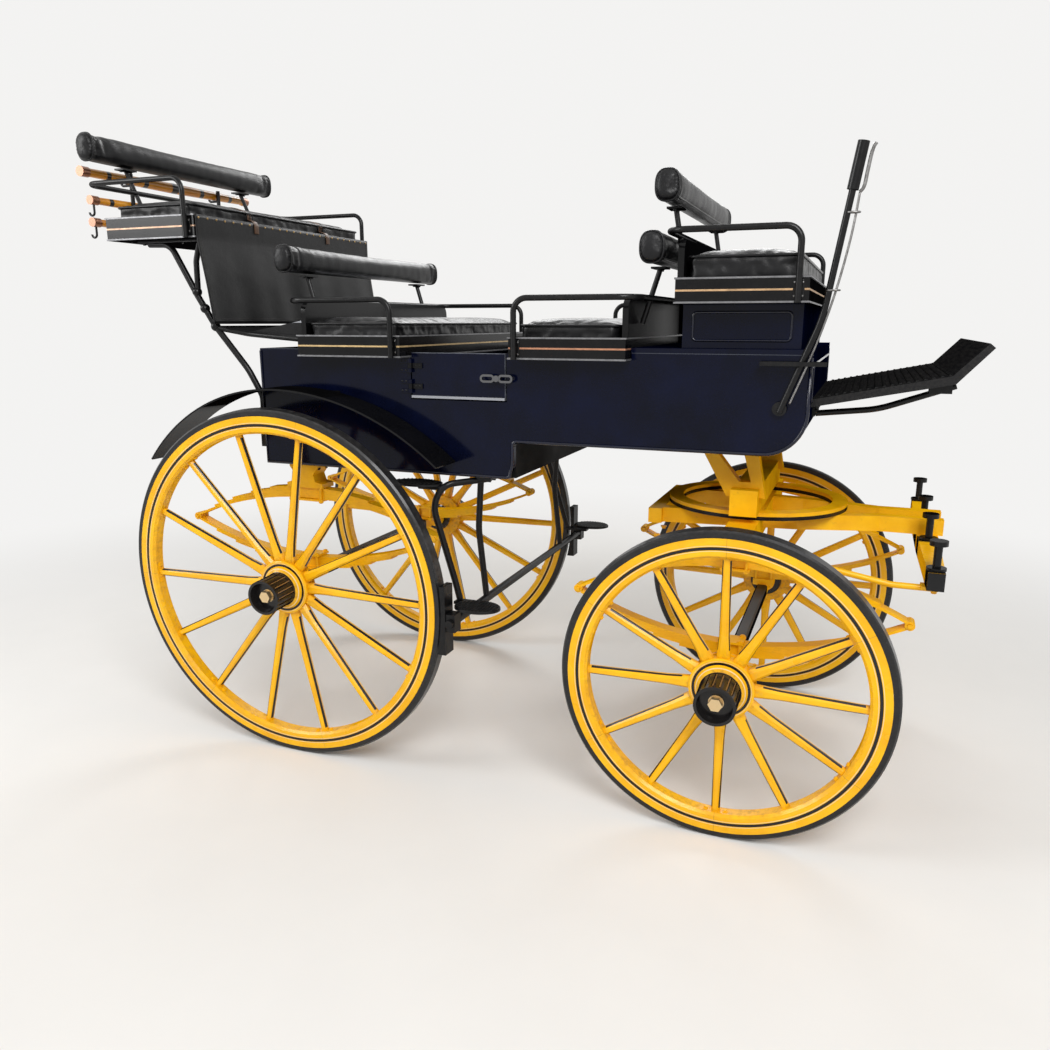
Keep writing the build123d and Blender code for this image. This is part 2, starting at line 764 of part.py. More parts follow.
def footboard():
    heel, toe, tip = footboard_heel, footboard_toe, body_top + 22
    bend_x = footboard_tip - 86
    board = outline((boot_front, heel), (bend_x, toe), (footboard_tip, tip),
                    (footboard_tip - 14, tip + 12), (bend_x - 10, toe + 22),
                    (boot_front, heel + 22))
    return side_plate(board, 0, 2 * (body_half - 70))


def footboard_irons():
    """Curved brackets under the footboard."""
    y = -body_half + 170
    x = boot_front + 9
    heel, toe = footboard_heel, footboard_toe
    bend_x = footboard_tip - 86
    iron = round_bar((x, y, heel - 30), (x, y, heel - 1), 9)
    stay = bar([(x, y, heel - 26), (x + 171, y, heel - 8), (bend_x + 10, y, toe - 10)], 9, 300)
    pad = block(boot_front, boot_front + 8, y - 22, y + 22, heel - 34, heel)
    lug = block(bend_x - 60, bend_x, y - 15, y + 15, toe - 32, toe)
    lug -= side_plate(outline((bend_x - 100, toe - 20), (bend_x, toe), (bend_x + 30, toe + 8),
                              (bend_x + 30, toe + 78), (bend_x - 100, toe + 78)), y, 60)
    return both_sides(iron + stay + pad + lug)


# Turntable and the steered carriage

def upper_carriage():
    """Bed over the turntable, its ring, king pin and the forked blocks under the boot."""
    x = wheelbase
    ring_bottom = fore_bed_top + ring_depth + seat_gap
    ring_top = ring_bottom + ring_depth
    bed_top = ring_top + upper_bed_depth
    rear, front = x - fork_reach, boot_front - boot_curve
    ring = Cylinder(ring_outer, ring_depth) - Cylinder(ring_inner, ring_depth)
    bed = block(x - 42, x + 42, -ring_outer - 70, ring_outer + 70, ring_top, bed_top)
    whole = Pos(x, 0, ring_bottom + ring_depth / 2) * ring + bed
    for side in (-1, 1):
        fork = outline((x - 60, bed_top - 30), (x + 60, bed_top - 30),
                       (front - 30, cut_under_z - 18), (front, cut_under_z - 18),
                       (front, cut_under_z), (rear, cut_under_z), (rear, cut_under_z - 18),
                       (rear + 30, cut_under_z - 18))
        window = outline((x - 22, bed_top + 18), (x + 14, bed_top + 18),
                         (front - 74, cut_under_z - 20), (rear + 74, cut_under_z - 20))
        whole += side_plate(fork - window, side * fork_y, fork_width)
    pin_bottom = fore_bed_top - futchell_depth - 40
    pin = Pos(x, 0, (pin_bottom + bed_top) / 2) * Cylinder(king_pin_radius, bed_top - pin_bottom)
    return whole + pin


def turntable_ring():
    ring = Cylinder(ring_outer, ring_depth) - Cylinder(ring_inner, ring_depth)
    return Pos(wheelbase, 0, fore_bed_top + ring_depth / 2) * ring


def fore_frame():
    """Bed on the front springs with the two shafts that hold the pole, and its stays."""
    x = wheelbase
    low = fore_bed_top - futchell_depth
    bed = block(x - 45, x + 45, -spring_y - 60, spring_y + 60, front_spring_top, fore_bed_top)
    rear, front = x - 330, splinter_x + 45
    bend = front - 190
    half = futchell_width / 2
    for side in (-1, 1):
        # the shafts close in towards the pole at the front
        wide, narrow = 190, 46 + half
        shaft_face = outline(
            (rear, side * (wide - half)), (x + 150, side * (wide - 71)),
            (bend, side * (narrow - half)), (front, side * (narrow - half)),
            (front, side * (narrow + half)), (bend, side * (narrow + half)),
            (x + 150, side * (wide - 29)), (rear, side * (wide + half)))
        bed += Pos(0, 0, low) * extrude(shaft_face, amount=futchell_depth)
        # round stay from the end of the bed to a pad under the splinter bar
        y, under = side * (splinter_half - 60), low - splinter_depth - seat_gap
        start = (x + 30, side * (spring_y + 45), fore_bed_top - 40)
        bed += bar([start, (splinter_x - 110, y, under - 9), (splinter_x + 4, y, under - 9)],
                   stay_radius, 120)
        bed += block(splinter_x - 34, splinter_x + 18, y - 22, y + 22, under - 9, under)
    bed += block(rear, rear + 45, -230, 230, low, fore_bed_top)
    bed += clips(x, front_spring_top, -1, 34)
    bore = king_pin_radius + running_clearance
    return bed - Pos(x, 0, fore_bed_top) * Cylinder(bore, 400)


def splinter_bar():
    """Bar across the front that the traces pull on, bored for the pin of the pole."""
    top = fore_bed_top - futchell_depth
    tip, broad = splinter_width / 2 - 9, splinter_width / 2
    face = outline(
        (splinter_x - tip, -splinter_half), (splinter_x + tip, -splinter_half),
        (splinter_x + broad, -120), (splinter_x + broad, 120), (splinter_x + tip, splinter_half),
        (splinter_x - tip, splinter_half), (splinter_x - broad, 120), (splinter_x - broad, -120))
    wood = Pos(0, 0, top - splinter_depth) * extrude(face, amount=splinter_depth)
    return wood - Pos(splinter_x, 0, top) * Cylinder(pole_pin_radius, 3 * splinter_depth)


def roller_bolts():
    """Upright pins for the traces."""
    top = fore_bed_top - futchell_depth
    parts = []
    for y in (40 - splinter_half, -150, 150, splinter_half - 40):
        base = Pos(splinter_x, y, top + 4) * Cylinder(26, 8)
        pin = Pos(splinter_x, y, top + 8 + roller_length / 2) * Cylinder(roller_radius, roller_length)
        head = Pos(splinter_x, y, top + 8 + roller_length + 7) * Cylinder(24, 14)
        parts.append(base + pin + head)
    return Compound(children=parts)


# Everything is built on the right side or in the middle, then moved and written

os.makedirs("parts", exist_ok=True)
top_bar_x, top_bar_seat = bar_place(*lead_bar_table[0][1:])
rear_end = top_bar_x - top_bar_seat - 2 * hook_radius - hook_room
middle_x = (rear_end + footboard_tip) / 2


def save(name, shape):
    export_step(Pos(-middle_x, 0, 0) * shape, "parts/" + name + ".step")


rear_spring_low = rear_eye_z - rear_spring_rise
front_spring_low = front_eye_z - front_spring_rise

# name, x of the axle, outer face, radius, spokes
axle_table = (
    ("rear", 0, rear_face_y, rear_radius, rear_spokes),
    ("front", wheelbase, front_face_y, front_radius, front_spokes),
)
for end, x, face_y, radius, spokes in axle_table:
    hub_y, hub_z = hub_place(face_y, radius)
    pieces = (
        ("rim", wheel_rim(radius, spokes)),
        ("tyre", wheel_tyre(radius)),
        ("hub", wheel_hub()),
    )
    place = Location((x, hub_y, hub_z), (90 + camber, 0, 0))
    for piece, shape in pieces:
        right = place * shape
        save("wheel_" + end + "_right_" + piece, right)
        save("wheel_" + end + "_left_" + piece, other_side(right))
    print(end, "hub", x - middle_x, hub_y, round(hub_z, 3))

save("axle_rear", axle(rear_face_y, rear_radius, rear_spring_low))
save("axle_front", Pos(wheelbase, 0, 0) * axle(front_face_y, front_radius, front_spring_low))
save("springs_rear", springs(0, rear_eye_z, rear_spring_half, rear_spring_rise))
save("springs_front", springs(wheelbase, front_eye_z, front_spring_half, front_spring_rise))
save("spring_blocks_rear", spring_blocks(0, rear_spring_top, body_bottom))

save("body_side_right", body_side())
save("body_side_left", other_side(body_side()))
save("body_rear_panel", block(body_rear, body_rear + panel, -body_half + panel, body_half - panel,
                              body_bottom, body_top))
save("body_floor", floor())
save("seat_risers", seat_risers())
save("boot_panel", boot_panel())
save("box_riser", box_riser())
save("door_right", door())
save("door_left", other_side(door()))

# name, tray, half width, back board x, then heights above the body of the back board (0 for
# no board) and of the cushion, and how far the cushion is kept off the back board
seat_table = (
    ("hind", (hind_x0, hind_x1, hind_z0, hind_z1), frame_half, hind_x0, 0, 502, 0),
    ("middle", (middle_x0, middle_x1, middle_z0, middle_z1), frame_half, middle_x0, 160, 97, 4),
    ("front", (front_x0, front_x1, front_z0, front_z1), frame_half, front_x1 - frame_wall, 160,
     92, -4),
    ("box", (box_x0, box_x1, box_z0, box_z1), frame_half - 20, box_x0, 320, 282, 4),
)
for name, tray, half, back_x, back_rise, rise, back in seat_table:
    save("seat_" + name, seat_frame(*tray, half, back_x, body_top + back_rise))
    save("cushion_" + name, cushion(tray[0], tray[1], tray[2], body_top + rise, half, back))

# name, x, height above the body, half length, depth, height
bolster_table = (
    ("hind", hind_x0 - 115, 710, frame_half - 33, 84, 104),
    ("middle", middle_x0 - 60, 298, frame_half - 10, 78, 96),
    ("front", front_x1 + 62, 298, frame_half - 10, 78, 96),
    ("box", box_x0 - 45, 470, frame_half - 60, 78, 96),
)
# leg x, back x, leg foot, height above the body, half width, foot of the posts, head x, spread
rail_table = (
    (hind_x1 - 29, hind_x0 - 71, hind_z0, 570, frame_half, (hind_x0 - 12, 435), hind_x0 - 113,
     body_half - 170),
    (middle_x1 - 26, middle_x0 - 30, middle_z0, 160, frame_half, (middle_x0 - 9, 85),
     middle_x0 - 58, body_half - 100),
    (front_x0 + 22, front_x1 + 32, front_z0, 160, frame_half, (front_x1 + 9, 85),
     front_x1 + 60, body_half - 100),
    (box_x1 - 28, box_x0 - 27, box_z0, 340, frame_half - 20, (box_x0 - 9, 235), box_x0 - 43,
     body_half - 140),
)
for roll, irons in zip(bolster_table, rail_table):
    name, x, rise, half, depth, height = roll
    z = body_top + rise
    save("bolster_" + name, bolster(x, z, half, depth, height))
    leg_x, back_x, low, high, width, foot, head_x, spread = irons
    head_z = z - height / 2 - seat_gap
    save("rail_" + name, rail(leg_x, back_x, low, body_top + high, width)
         + posts(foot[0], body_top + foot[1], head_x, head_z, spread, post_radius))

save("hind_stays", hind_stays())
save("hind_footboard", hind_footboard())
save("hind_fall", hind_fall())
save("wings", wings())
save("steps", steps())
save("brake_gear", brake_gear())
save("brake_blocks", brake_blocks())
save("brake_lever", brake_lever())
save("lead_bars", lead_bars())
save("bar_irons", bar_irons())
save("footboard", footboard())
save("footboard_irons", footboard_irons())
save("upper_carriage", upper_carriage())
save("turntable_ring", turntable_ring())
save("fore_frame", fore_frame())
save("splinter_bar", splinter_bar())
save("roller_bolts", roller_bolts())
print("origin at x", middle_x)
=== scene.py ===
import bpy
import bmesh
import math
import numpy as np
from mathutils import Matrix, Vector, noise
from mathutils.bvhtree import BVHTree


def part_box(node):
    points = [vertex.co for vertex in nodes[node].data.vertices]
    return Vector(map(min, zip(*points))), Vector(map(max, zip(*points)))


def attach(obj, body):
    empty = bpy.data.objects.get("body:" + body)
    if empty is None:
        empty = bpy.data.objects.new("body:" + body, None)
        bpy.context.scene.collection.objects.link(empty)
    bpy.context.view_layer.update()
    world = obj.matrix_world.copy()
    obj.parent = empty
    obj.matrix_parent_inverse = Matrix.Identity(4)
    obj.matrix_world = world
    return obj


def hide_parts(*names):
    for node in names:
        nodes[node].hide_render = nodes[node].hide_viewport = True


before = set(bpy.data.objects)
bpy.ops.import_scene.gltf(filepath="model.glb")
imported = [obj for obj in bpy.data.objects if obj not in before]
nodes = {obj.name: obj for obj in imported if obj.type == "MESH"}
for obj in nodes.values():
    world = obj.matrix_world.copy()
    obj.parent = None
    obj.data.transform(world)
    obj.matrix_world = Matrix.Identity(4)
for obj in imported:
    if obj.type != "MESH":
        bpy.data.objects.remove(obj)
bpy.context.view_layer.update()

scene = bpy.context.scene


def newObject(name, data):
    thing = bpy.data.objects.new(name, data)
    scene.collection.objects.link(thing)
    return thing


class Graph:
    # a node tree, with short names for the nodes that paints and details are made of

    def __init__(self, tree):
        self.tree = tree

    def feed(self, socket, value):
        if isinstance(value, bpy.types.NodeSocket):
            self.tree.links.new(value, socket)
        else:
            socket.default_value = value

    def wire(self, node, inputs):
        for key, value in inputs.items():
            self.feed(node.inputs[key], value)
        return node

    def add(self, kind, inputs=(), **settings):
        node = self.tree.nodes.new(kind)
        for key, value in settings.items():
            setattr(node, key, value)
        return self.wire(node, dict(inputs))

    def calc(self, operation, *values):
        return self.add("ShaderNodeMath", enumerate(values), operation=operation).outputs[0]

    def above(self, value, low):
        return self.calc("GREATER_THAN", value, low)

    def below(self, value, high):
        return self.calc("LESS_THAN", value, high)

    def inside(self, value, low, high):
        return self.times(self.above(value, low), self.below(value, high))

    def near(self, value, centre, half):
        return self.calc("COMPARE", value, centre, half)

    def less(self, first, second):
        return self.calc("SUBTRACT", first, second)

    def size(self, value):
        return self.calc("ABSOLUTE", value)

    def times(self, first, *others):
        # for masks: where all of them are 1
        for other in others:
            first = self.calc("MULTIPLY", first, other)
        return first

    def either(self, first, *others):
        for other in others:
            first = self.calc("MAXIMUM", first, other)
        return first

    def hypot(self, x, y):
        return self.calc("SQRT", self.calc("ADD", self.times(x, x), self.times(y, y)))

    def blend(self, mask, first, second):
        return self.calc("ADD", self.times(first, self.less(1.0, mask)), self.times(mask, second))

    def ramp(self, value, fromLow, fromHigh, toLow, toHigh):
        values = (value, fromLow, fromHigh, toLow, toHigh)
        return self.add("ShaderNodeMapRange", enumerate(values), clamp=True).outputs[0]

    def mix(self, factor, first, second):
        first, second = ((*c, 1) if isinstance(c, tuple) else c for c in (first, second))
        return self.add("ShaderNodeMix", {0: factor, 6: first, 7: second},
                        data_type="RGBA").outputs[2]

    def cloudy(self, coords, scale, detail=3.0, roughness=0.55, stretch=None):
        if stretch:
            coords = self.add("ShaderNodeMapping", {"Vector": coords, "Scale": stretch}).outputs[0]
        return self.add("ShaderNodeTexNoise", {"Vector": coords, "Scale": scale, "Detail": detail,
                                               "Roughness": roughness}).outputs["Fac"]

    def cracks(self, coords, scale):
        return self.add("ShaderNodeTexVoronoi", {"Vector": coords, "Scale": scale},
                        feature="DISTANCE_TO_EDGE").outputs["Distance"]

    def raised(self, height, strength, distance, under=None):
        inputs = {"Strength": strength, "Distance": distance, "Height": height}
        if under is not None:
            inputs["Normal"] = under
        return self.add("ShaderNodeBump", inputs).outputs[0]

    def coords(self):
        return self.add("ShaderNodeTexCoord").outputs["Object"]

    def split(self, vector):
        return tuple(self.add("ShaderNodeSeparateXYZ", {0: vector}).outputs)

    def vector(self, x, y, z):
        return self.add("ShaderNodeCombineXYZ", {0: x, 1: y, 2: z}).outputs[0]

    def seenRays(self):
        # 1 for what the camera sees, straight on, in a mirror or through glass
        rays = self.add("ShaderNodeLightPath").outputs
        return self.either(rays["Is Camera Ray"], rays["Is Transmission Ray"],
                           rays["Is Glossy Ray"])

    def chosen(self, factor, first, second):
        # the second shader where the factor is 1
        return self.add("ShaderNodeMixShader", {
            0: factor, 1: first.outputs[0], 2: second.outputs[0]}).outputs[0]


def newMaterial(name):
    material = bpy.data.materials.new(name)
    material.use_nodes = True
    return material, Graph(material.node_tree), material.node_tree.nodes["Principled BSDF"]


paintHabits = {
    "dustColour": (0.42, 0.36, 0.29),
    "coatRoughness": 0.08,
    "rippleDepth": 0.002,
    "darkBelow": 0.28,      # paints with less specular than this stay dark at grazing angles
    "grazing": (0.5, 0.8),  # where their shine begins to fade and where it is gone
}


def finish(name, dark, light, gloss, spots=22, coat=0.0, specular=0.5, metal=0.0,
           layers=None, ripple=(260, 0.04), streak=None, dust=0.0):
    # a paint or metal: two shades, uneven gloss, fine ripple, then layers of other colours
    material, g, shader = newMaterial(name)
    coords = g.coords()
    shade = g.cloudy(coords, spots, 5, 0.6, streak)
    colour = g.mix(g.ramp(shade, 0.35, 0.65, 0, 1), dark, light)
    patch = g.cloudy(coords, 3.1, 3)
    rough = g.ramp(patch, 0.3, 0.7, gloss * 0.8, gloss * 1.3)
    metalness = metal
    if dust:
        specks = g.cloudy(coords, 140, 6, 0.7)
        film = g.times(g.ramp(specks, 0.5, 0.75, 0, dust), g.ramp(patch, 0.4, 0.65, 0.25, 1))
        colour = g.mix(film, colour, paintHabits["dustColour"])
    # each layer is a mask, a colour, how metallic it is and its roughness
    for mask, layerColour, layerMetal, layerRough in layers(g, coords) if layers else ():
        colour = g.mix(mask, colour, layerColour)
        rough = g.blend(mask, rough, layerRough)
        if layerMetal != metal:
            metalness = g.blend(mask, metalness, layerMetal)
    shine = {"Specular IOR Level": specular, "Coat Weight": coat}
    if specular < paintHabits["darkBelow"]:
        facing = g.add("ShaderNodeLayerWeight", {"Blend": 0.5}).outputs["Facing"]
        shine = {key: g.ramp(facing, *paintHabits["grazing"], value, 0.0)
                 for key, value in shine.items()}
    fine = g.cloudy(coords, ripple[0], 4, 0.6)
    g.wire(shader, {"Base Color": colour, "Roughness": rough, "Metallic": metalness, **shine,
                    "Coat Roughness": paintHabits["coatRoughness"],
                    "Normal": g.raised(fine, ripple[1], paintHabits["rippleDepth"])})
    material.diffuse_color = (*light, 1)
    return material


# camera and light

cameraPlace = {
    "position": (1.2575, -3.059, 1.548),  # metres, where the carriage was seen from
    "turn": 21.4,                         # degrees to the left of square-on
    "tilt": -13.2,
    "lens": 29.6,
}
studio = {
    "floorColour": (0.82, 0.81, 0.79),
    "background": (0.90, 0.895, 0.885),
    "fadeStart": 1.9,       # metres from the middle of the carriage
    "fadeEnd": 5.0,
    "skyColour": (1, 0.985, 0.96),
    "skyLevel": 0.42,
    # place, aim, size and power of each lamp
    "lamps": {
        "keyLamp": ((2.6, -4.2, 4.6), (0, 0, 1.0), (2.6, 2.6), 260),
        "fillLamp": ((-4.2, -3.2, 3.2), (-0.3, 0, 1.0), (2.2, 2.2), 110),
        "backLamp": ((-0.6, 4.4, 4.4), (0, 0, 1.2), (3.4, 1.8), 120),
    },
}


def setCamera(place):
    data = bpy.data.cameras.new("camera")
    data.lens = place["lens"]
    data.clip_start, data.clip_end = 0.05, 60
    turn = Matrix.Rotation(math.radians(place["turn"]), 4, "Z")
    tilt = Matrix.Rotation(math.radians(90 + place["tilt"]), 4, "X")
    scene.camera = newObject("camera", data)
    scene.camera.matrix_world = Matrix.Translation(place["position"]) @ turn @ tilt


def setStudio(values):
    scene.view_settings.view_transform = "Standard"
    for name, (place, aim, size, power) in values["lamps"].items():
        data = bpy.data.lights.new(name, "AREA")
        data.shape = "RECTANGLE"
        data.size, data.size_y = size
        data.energy = power
        lamp = newObject(name, data)
        lamp.location = place
        lamp.rotation_euler = (Vector(aim) - Vector(place)).to_track_quat("-Z", "Y").to_euler()
    scene.world = bpy.data.worlds.new("studio")
    scene.world.use_nodes = True
    g = Graph(scene.world.node_tree)
    g.tree.nodes.clear()
    sky = g.add("ShaderNodeBackground", {"Color": (*values["skyColour"], 1),
                                         "Strength": values["skyLevel"]})
    backdrop = g.add("ShaderNodeBackground", {"Color": (*values["background"], 1)})
    g.add("ShaderNodeOutputWorld", {"Surface": g.chosen(g.seenRays(), sky, backdrop)})


setCamera(cameraPlace)
setStudio(studio)

# wheels: yellow paint with dark lines edged in cream

wheelPaint = {
    "yellow": (0.93, 0.505, 0.006),
    "yellowDeep": (0.84, 0.41, 0.003),
    "line": (0.010, 0.009, 0.010),
    "cream": (0.78, 0.60, 0.34),
    "cap": (0.010, 0.009, 0.009),
    "gold": (0.36, 0.22, 0.085),
    "brass": (0.74, 0.55, 0.30),
    "iron": (0.012, 0.012, 0.013),
    "wornIron": (0.075, 0.072, 0.070),
    "grime": (0.42, 0.19, 0.014),
    "joint": (0.50, 0.24, 0.014),
    "dirtAndShade": (0.34, 0.15, 0.015),
    # painted shade between the spring leaves, with oil and dirt
    "leafShadeAndOil": (0.38, 0.17, 0.012),
    "worn": (0.50, 0.23, 0.02),
}
# hub in metres, lean of the arm, radius, number of spokes
wheelTable = {
    "wheel_rear_right": ((-0.607541, -0.619608, 0.635650), 92.9, 0.635, 14),
    "wheel_rear_left": ((-0.607541, 0.619608, 0.635650), -92.9, 0.635, 14),
    "wheel_front_right": ((0.930459, -0.612540, 0.493456), 92.9, 0.493, 12),
    "wheel_front_left": ((0.930459, 0.612540, 0.493456), -92.9, 0.493, 12),
}
wheelShape = {
    "rim": 0.083,                        # from the tread to the inside of the rim, metres
    "dish": math.tan(math.radians(3)),   # how far the spokes lean outwards, per metre
    "face": 0.0235,                      # from the middle of the rim to its faces
    "spokeFoot": 0.082,                  # radius at which the spokes leave the hub
}
wheelLines = {
    "ring": (0.030, 0.0048),             # from the inside of the rim, half width
    "fineRing": (0.0075, 0.0009),        # from the middle of the ring, half width
    "stripe": (-0.0010, 0.0090),         # from the middle of a spoke towards its face
    "fineStripe": (-0.0042, -0.0024),
    "stripeStart": 0.120,                # radius at which the stripes begin
    "stripeEnd": 0.010,                  # from the inside of the rim
    "joint": 0.0007,                     # half width between two felloes
    "mouth": 0.012,                      # how far the grime reaches from the rim
}
# places along the axle arm, outwards, and radii, metres
hubLines = {
    "back": -0.060,
    "nave": (0.0265, 0.0330),
    "ring": (0.0785, 0.0865),
    "fineRing": (0.0885, 0.0898),
    "step": (0.0365, 0.0386),
    "stepRing": (0.066, 0.076),
    "cap": 0.0432,
    "ribs": (0.047, 0.132),
    "ribTops": (0.0535, 0.0592),
    "ribCount": 18,
    "ribHalf": 0.0017,
    "nut": 0.108,
    "nutRadius": 0.0225,
}


def wheelCoords(g, coords, hub, lean):
    # distance from the axle, angle round it and place along it
    turned = g.add("ShaderNodeMapping", {"Vector": coords, "Location": hub,
                                         "Rotation": (math.radians(lean), 0, 0)},
                   vector_type="TEXTURE")
    x, y, z = g.split(turned.outputs[0])
    return g.hypot(x, y), g.calc("ARCTAN2", y, x), z


def spokeSplit(g, radius, angle, count, half=0.0):
    # distance to the side of the nearest of count directions
    step = 2 * math.pi / count
    turned = g.less(angle, half * step)
    nearest = g.times(g.calc("ROUND", g.calc("DIVIDE", turned, step)), step)
    return g.size(g.times(radius, g.calc("SINE", g.less(turned, nearest))))


def yellowFinish(name, gloss, spots, layers=None, ripple=(200, 0.06), dust=0.04, coat=0.10,
                 streak=None):
    return finish(name, wheelPaint["yellowDeep"], wheelPaint["yellow"], gloss, spots, coat=coat,
                  specular=0.27, layers=layers, ripple=ripple, dust=dust, streak=streak)


def rimMaterial(name, hub, lean, size, spokes):
    inner = size - wheelShape["rim"]
    dishAt = inner * wheelShape["dish"]
    slope = dishAt / (inner + 0.004)

    def layers(g, coords):
        radius, angle, z = wheelCoords(g, coords, hub, lean)
        # grime where the spokes enter the rim and the hub
        mouth = g.either(g.ramp(g.size(g.less(radius, inner)), 0, wheelLines["mouth"], 1, 0),
                         g.ramp(radius, 0.100, 0.128, 1, 0))
        grime = g.times(mouth, g.ramp(g.cloudy(coords, 60, 5, 0.65), 0.45, 0.68, 0, 0.55))
        onFace = g.above(g.size(g.less(z, dishAt)), wheelShape["face"])
        lineAt = inner + wheelLines["ring"][0]
        ring = g.times(onFace, g.near(radius, lineAt, wheelLines["ring"][1]))
        fineRing = g.times(onFace, g.near(g.size(g.less(radius, lineAt)),
                                          *wheelLines["fineRing"]))
        # the joints between the felloes
        split = spokeSplit(g, radius, angle, spokes // 2, 0.5)
        joint = g.times(g.above(radius, inner), g.below(split, wheelLines["joint"]))
        # the flanks of the spokes, which grow a little thinner outwards
        height = g.less(z, g.times(g.less(radius, wheelShape["spokeFoot"]), slope))
        width = g.ramp(radius, 0.165, inner, 0.0145, 0.0125)
        aside = spokeSplit(g, radius, angle, spokes)
        flank = g.times(g.above(aside, g.times(width, 0.66)),
                        g.inside(radius, wheelLines["stripeStart"],
                                 inner - wheelLines["stripeEnd"]))
        stripe = g.times(flank, g.inside(height, *wheelLines["stripe"]))
        fineStripe = g.times(flank, g.inside(height, *wheelLines["fineStripe"]))
        return [
            (grime, wheelPaint["grime"], 0.0, 0.5),
            (joint, wheelPaint["joint"], 0.0, 0.45),
            (g.either(ring, stripe), wheelPaint["line"], 0.0, 0.28),
            (g.either(fineRing, fineStripe), wheelPaint["cream"], 0.0, 0.35),
        ]

    return yellowFinish(name, 0.26, 9, layers, (180, 0.05), 0.03, coat=0.15)


def hubMaterial(name, hub, lean):
    def layers(g, coords):
        radius, angle, z = wheelCoords(g, coords, hub, lean)
        cap = g.above(z, hubLines["cap"])
        split = spokeSplit(g, radius, angle, hubLines["ribCount"])
        rib = g.times(g.inside(z, *hubLines["ribs"]), g.inside(radius, *hubLines["ribTops"]),
                      g.below(split, hubLines["ribHalf"]))
        nut = g.times(g.below(radius, hubLines["nutRadius"]), g.above(z, hubLines["nut"]))
        nave = g.inside(z, *hubLines["nave"])
        ring = g.times(nave, g.inside(radius, *hubLines["ring"]))
        fine = g.times(nave, g.inside(radius, *hubLines["fineRing"]))
        step = g.times(g.inside(z, *hubLines["step"]), g.inside(radius, *hubLines["stepRing"]))
        back = g.below(z, hubLines["back"])
        dirtAndShade = g.times(g.ramp(g.cloudy(coords, 75, 5, 0.65), 0.42, 0.66, 0, 0.6),
                       g.either(g.below(z, -0.02), g.near(z, 0.043, 0.004)))
        return [
            (dirtAndShade, wheelPaint["dirtAndShade"], 0.0, 0.5),
            (g.either(ring, cap, back), wheelPaint["cap"], 0.0, 0.22),
            (g.either(fine, step), wheelPaint["cream"], 0.0, 0.35),
            (rib, wheelPaint["gold"], 0.6, 0.42),
            (nut, wheelPaint["brass"], 0.85, 0.34),
        ]

    return yellowFinish(name, 0.24, 14, layers, (210, 0.04), 0.03, coat=0.15)


def tyreMaterial(name, hub, lean, size):
    def layers(g, coords):
        radius = wheelCoords(g, coords, hub, lean)[0]
        tread = g.times(g.above(radius, size - 0.0045),
                        g.ramp(g.cloudy(coords, 46, 6, 0.7), 0.42, 0.70, 0, 0.45))
        scuff = g.times(g.above(radius, size - 0.010),
                        g.ramp(g.cloudy(coords, 160, 5, 0.7), 0.58, 0.72, 0, 0.5))
        return [(g.either(tread, scuff), wheelPaint["wornIron"], 0.1, 0.55)]

    return finish(name, (0.006, 0.006, 0.007), wheelPaint["iron"], 0.30, 30, coat=0.2,
                  specular=0.3, layers=layers, ripple=(320, 0.08), dust=0.05)


def paintNode(name, paint):
    nodes[name].data.materials.clear()
    nodes[name].data.materials.append(paint)


for wheel, (hub, lean, size, spokes) in wheelTable.items():
    paintNode(wheel + "_rim", rimMaterial(wheel + "Paint", hub, lean, size, spokes))
    paintNode(wheel + "_hub", hubMaterial(wheel + "HubPaint", hub, lean))
    paintNode(wheel + "_tyre", tyreMaterial(wheel + "Iron", hub, lean, size))
print("wheels painted")

# paints, iron, wood and leather for the rest

bodyPaint = {
    "navy": (0.0013, 0.0028, 0.016),
    "navyDeep": (0.0007, 0.0014, 0.0075),
    "black": (0.0040, 0.0040, 0.0046),
    "blackDeep": (0.0020, 0.0020, 0.0023),
    "silver": (0.25, 0.25, 0.26),
    "bright": (0.36, 0.37, 0.40),
    # painted highlight for the top and front edges of the doors
    "paintedEdgeHighlight": (0.16, 0.17, 0.20),
    "handle": (0.15, 0.15, 0.155),
    "lip": (0.05, 0.055, 0.07),
    "copper": (0.30, 0.130, 0.070),
    "rubber": (0.022, 0.022, 0.023),
}
# levels and places in the frame, metres
doorLines = {
    "stripTop": 1.3132,
    "topEdge": 1.4502,
    "frontEdge": 0.1860,
    "face": 0.5003,
    "handle": (0.10, 0.23),
    "handleFoot": 1.35,
    "hinge": -0.09,
    "hingeFoot": 1.3135,
}
# distances from the middle of the carriage and levels, metres
barLines = {
    "upper": 2.05,
    "upperEnd": 0.4360,
    "lowerEnd": 0.4060,
    "bands": ((0.16, 0.012), (0.345, 0.010), (0.0, 0.018)),
}
splinterLines = {
    "bands": ((0.520, 0.034), (0.150, 0.034)),
    "middle": 0.072,
    "end": 0.5555,
    "fine": (0.480, 0.190, 0.110, 0.078),
    "fineHalf": 0.0012,
}
toeLines = {
    "pitch": 0.02,
    "ribsTop": 1.5382,
    "binding": 1.5475,
}
bodyLines = {
    "lip": (1.4592, 0.0012),
    "blackAxle": 0.395,
    "springs": 0.450,
}
# bottom and top of each seat panel, and the colour of the line along it, metres
seatLines = {
    "seat_hind": (1.835, 1.913, (0.62, 0.40, 0.27)),
    "seat_middle": (1.436, 1.508, (0.70, 0.50, 0.25)),
    "seat_front": (1.437, 1.505, (0.56, 0.27, 0.16)),
    "seat_box": (1.600, 1.672, (0.62, 0.40, 0.22)),
}


def blackFinish(name, gloss, spots, coat, layers=None, ripple=(90, 0.03)):
    return finish(name, bodyPaint["blackDeep"], bodyPaint["black"], gloss, spots, coat=coat,
                  specular=0.18, layers=layers, ripple=ripple, dust=0.02)


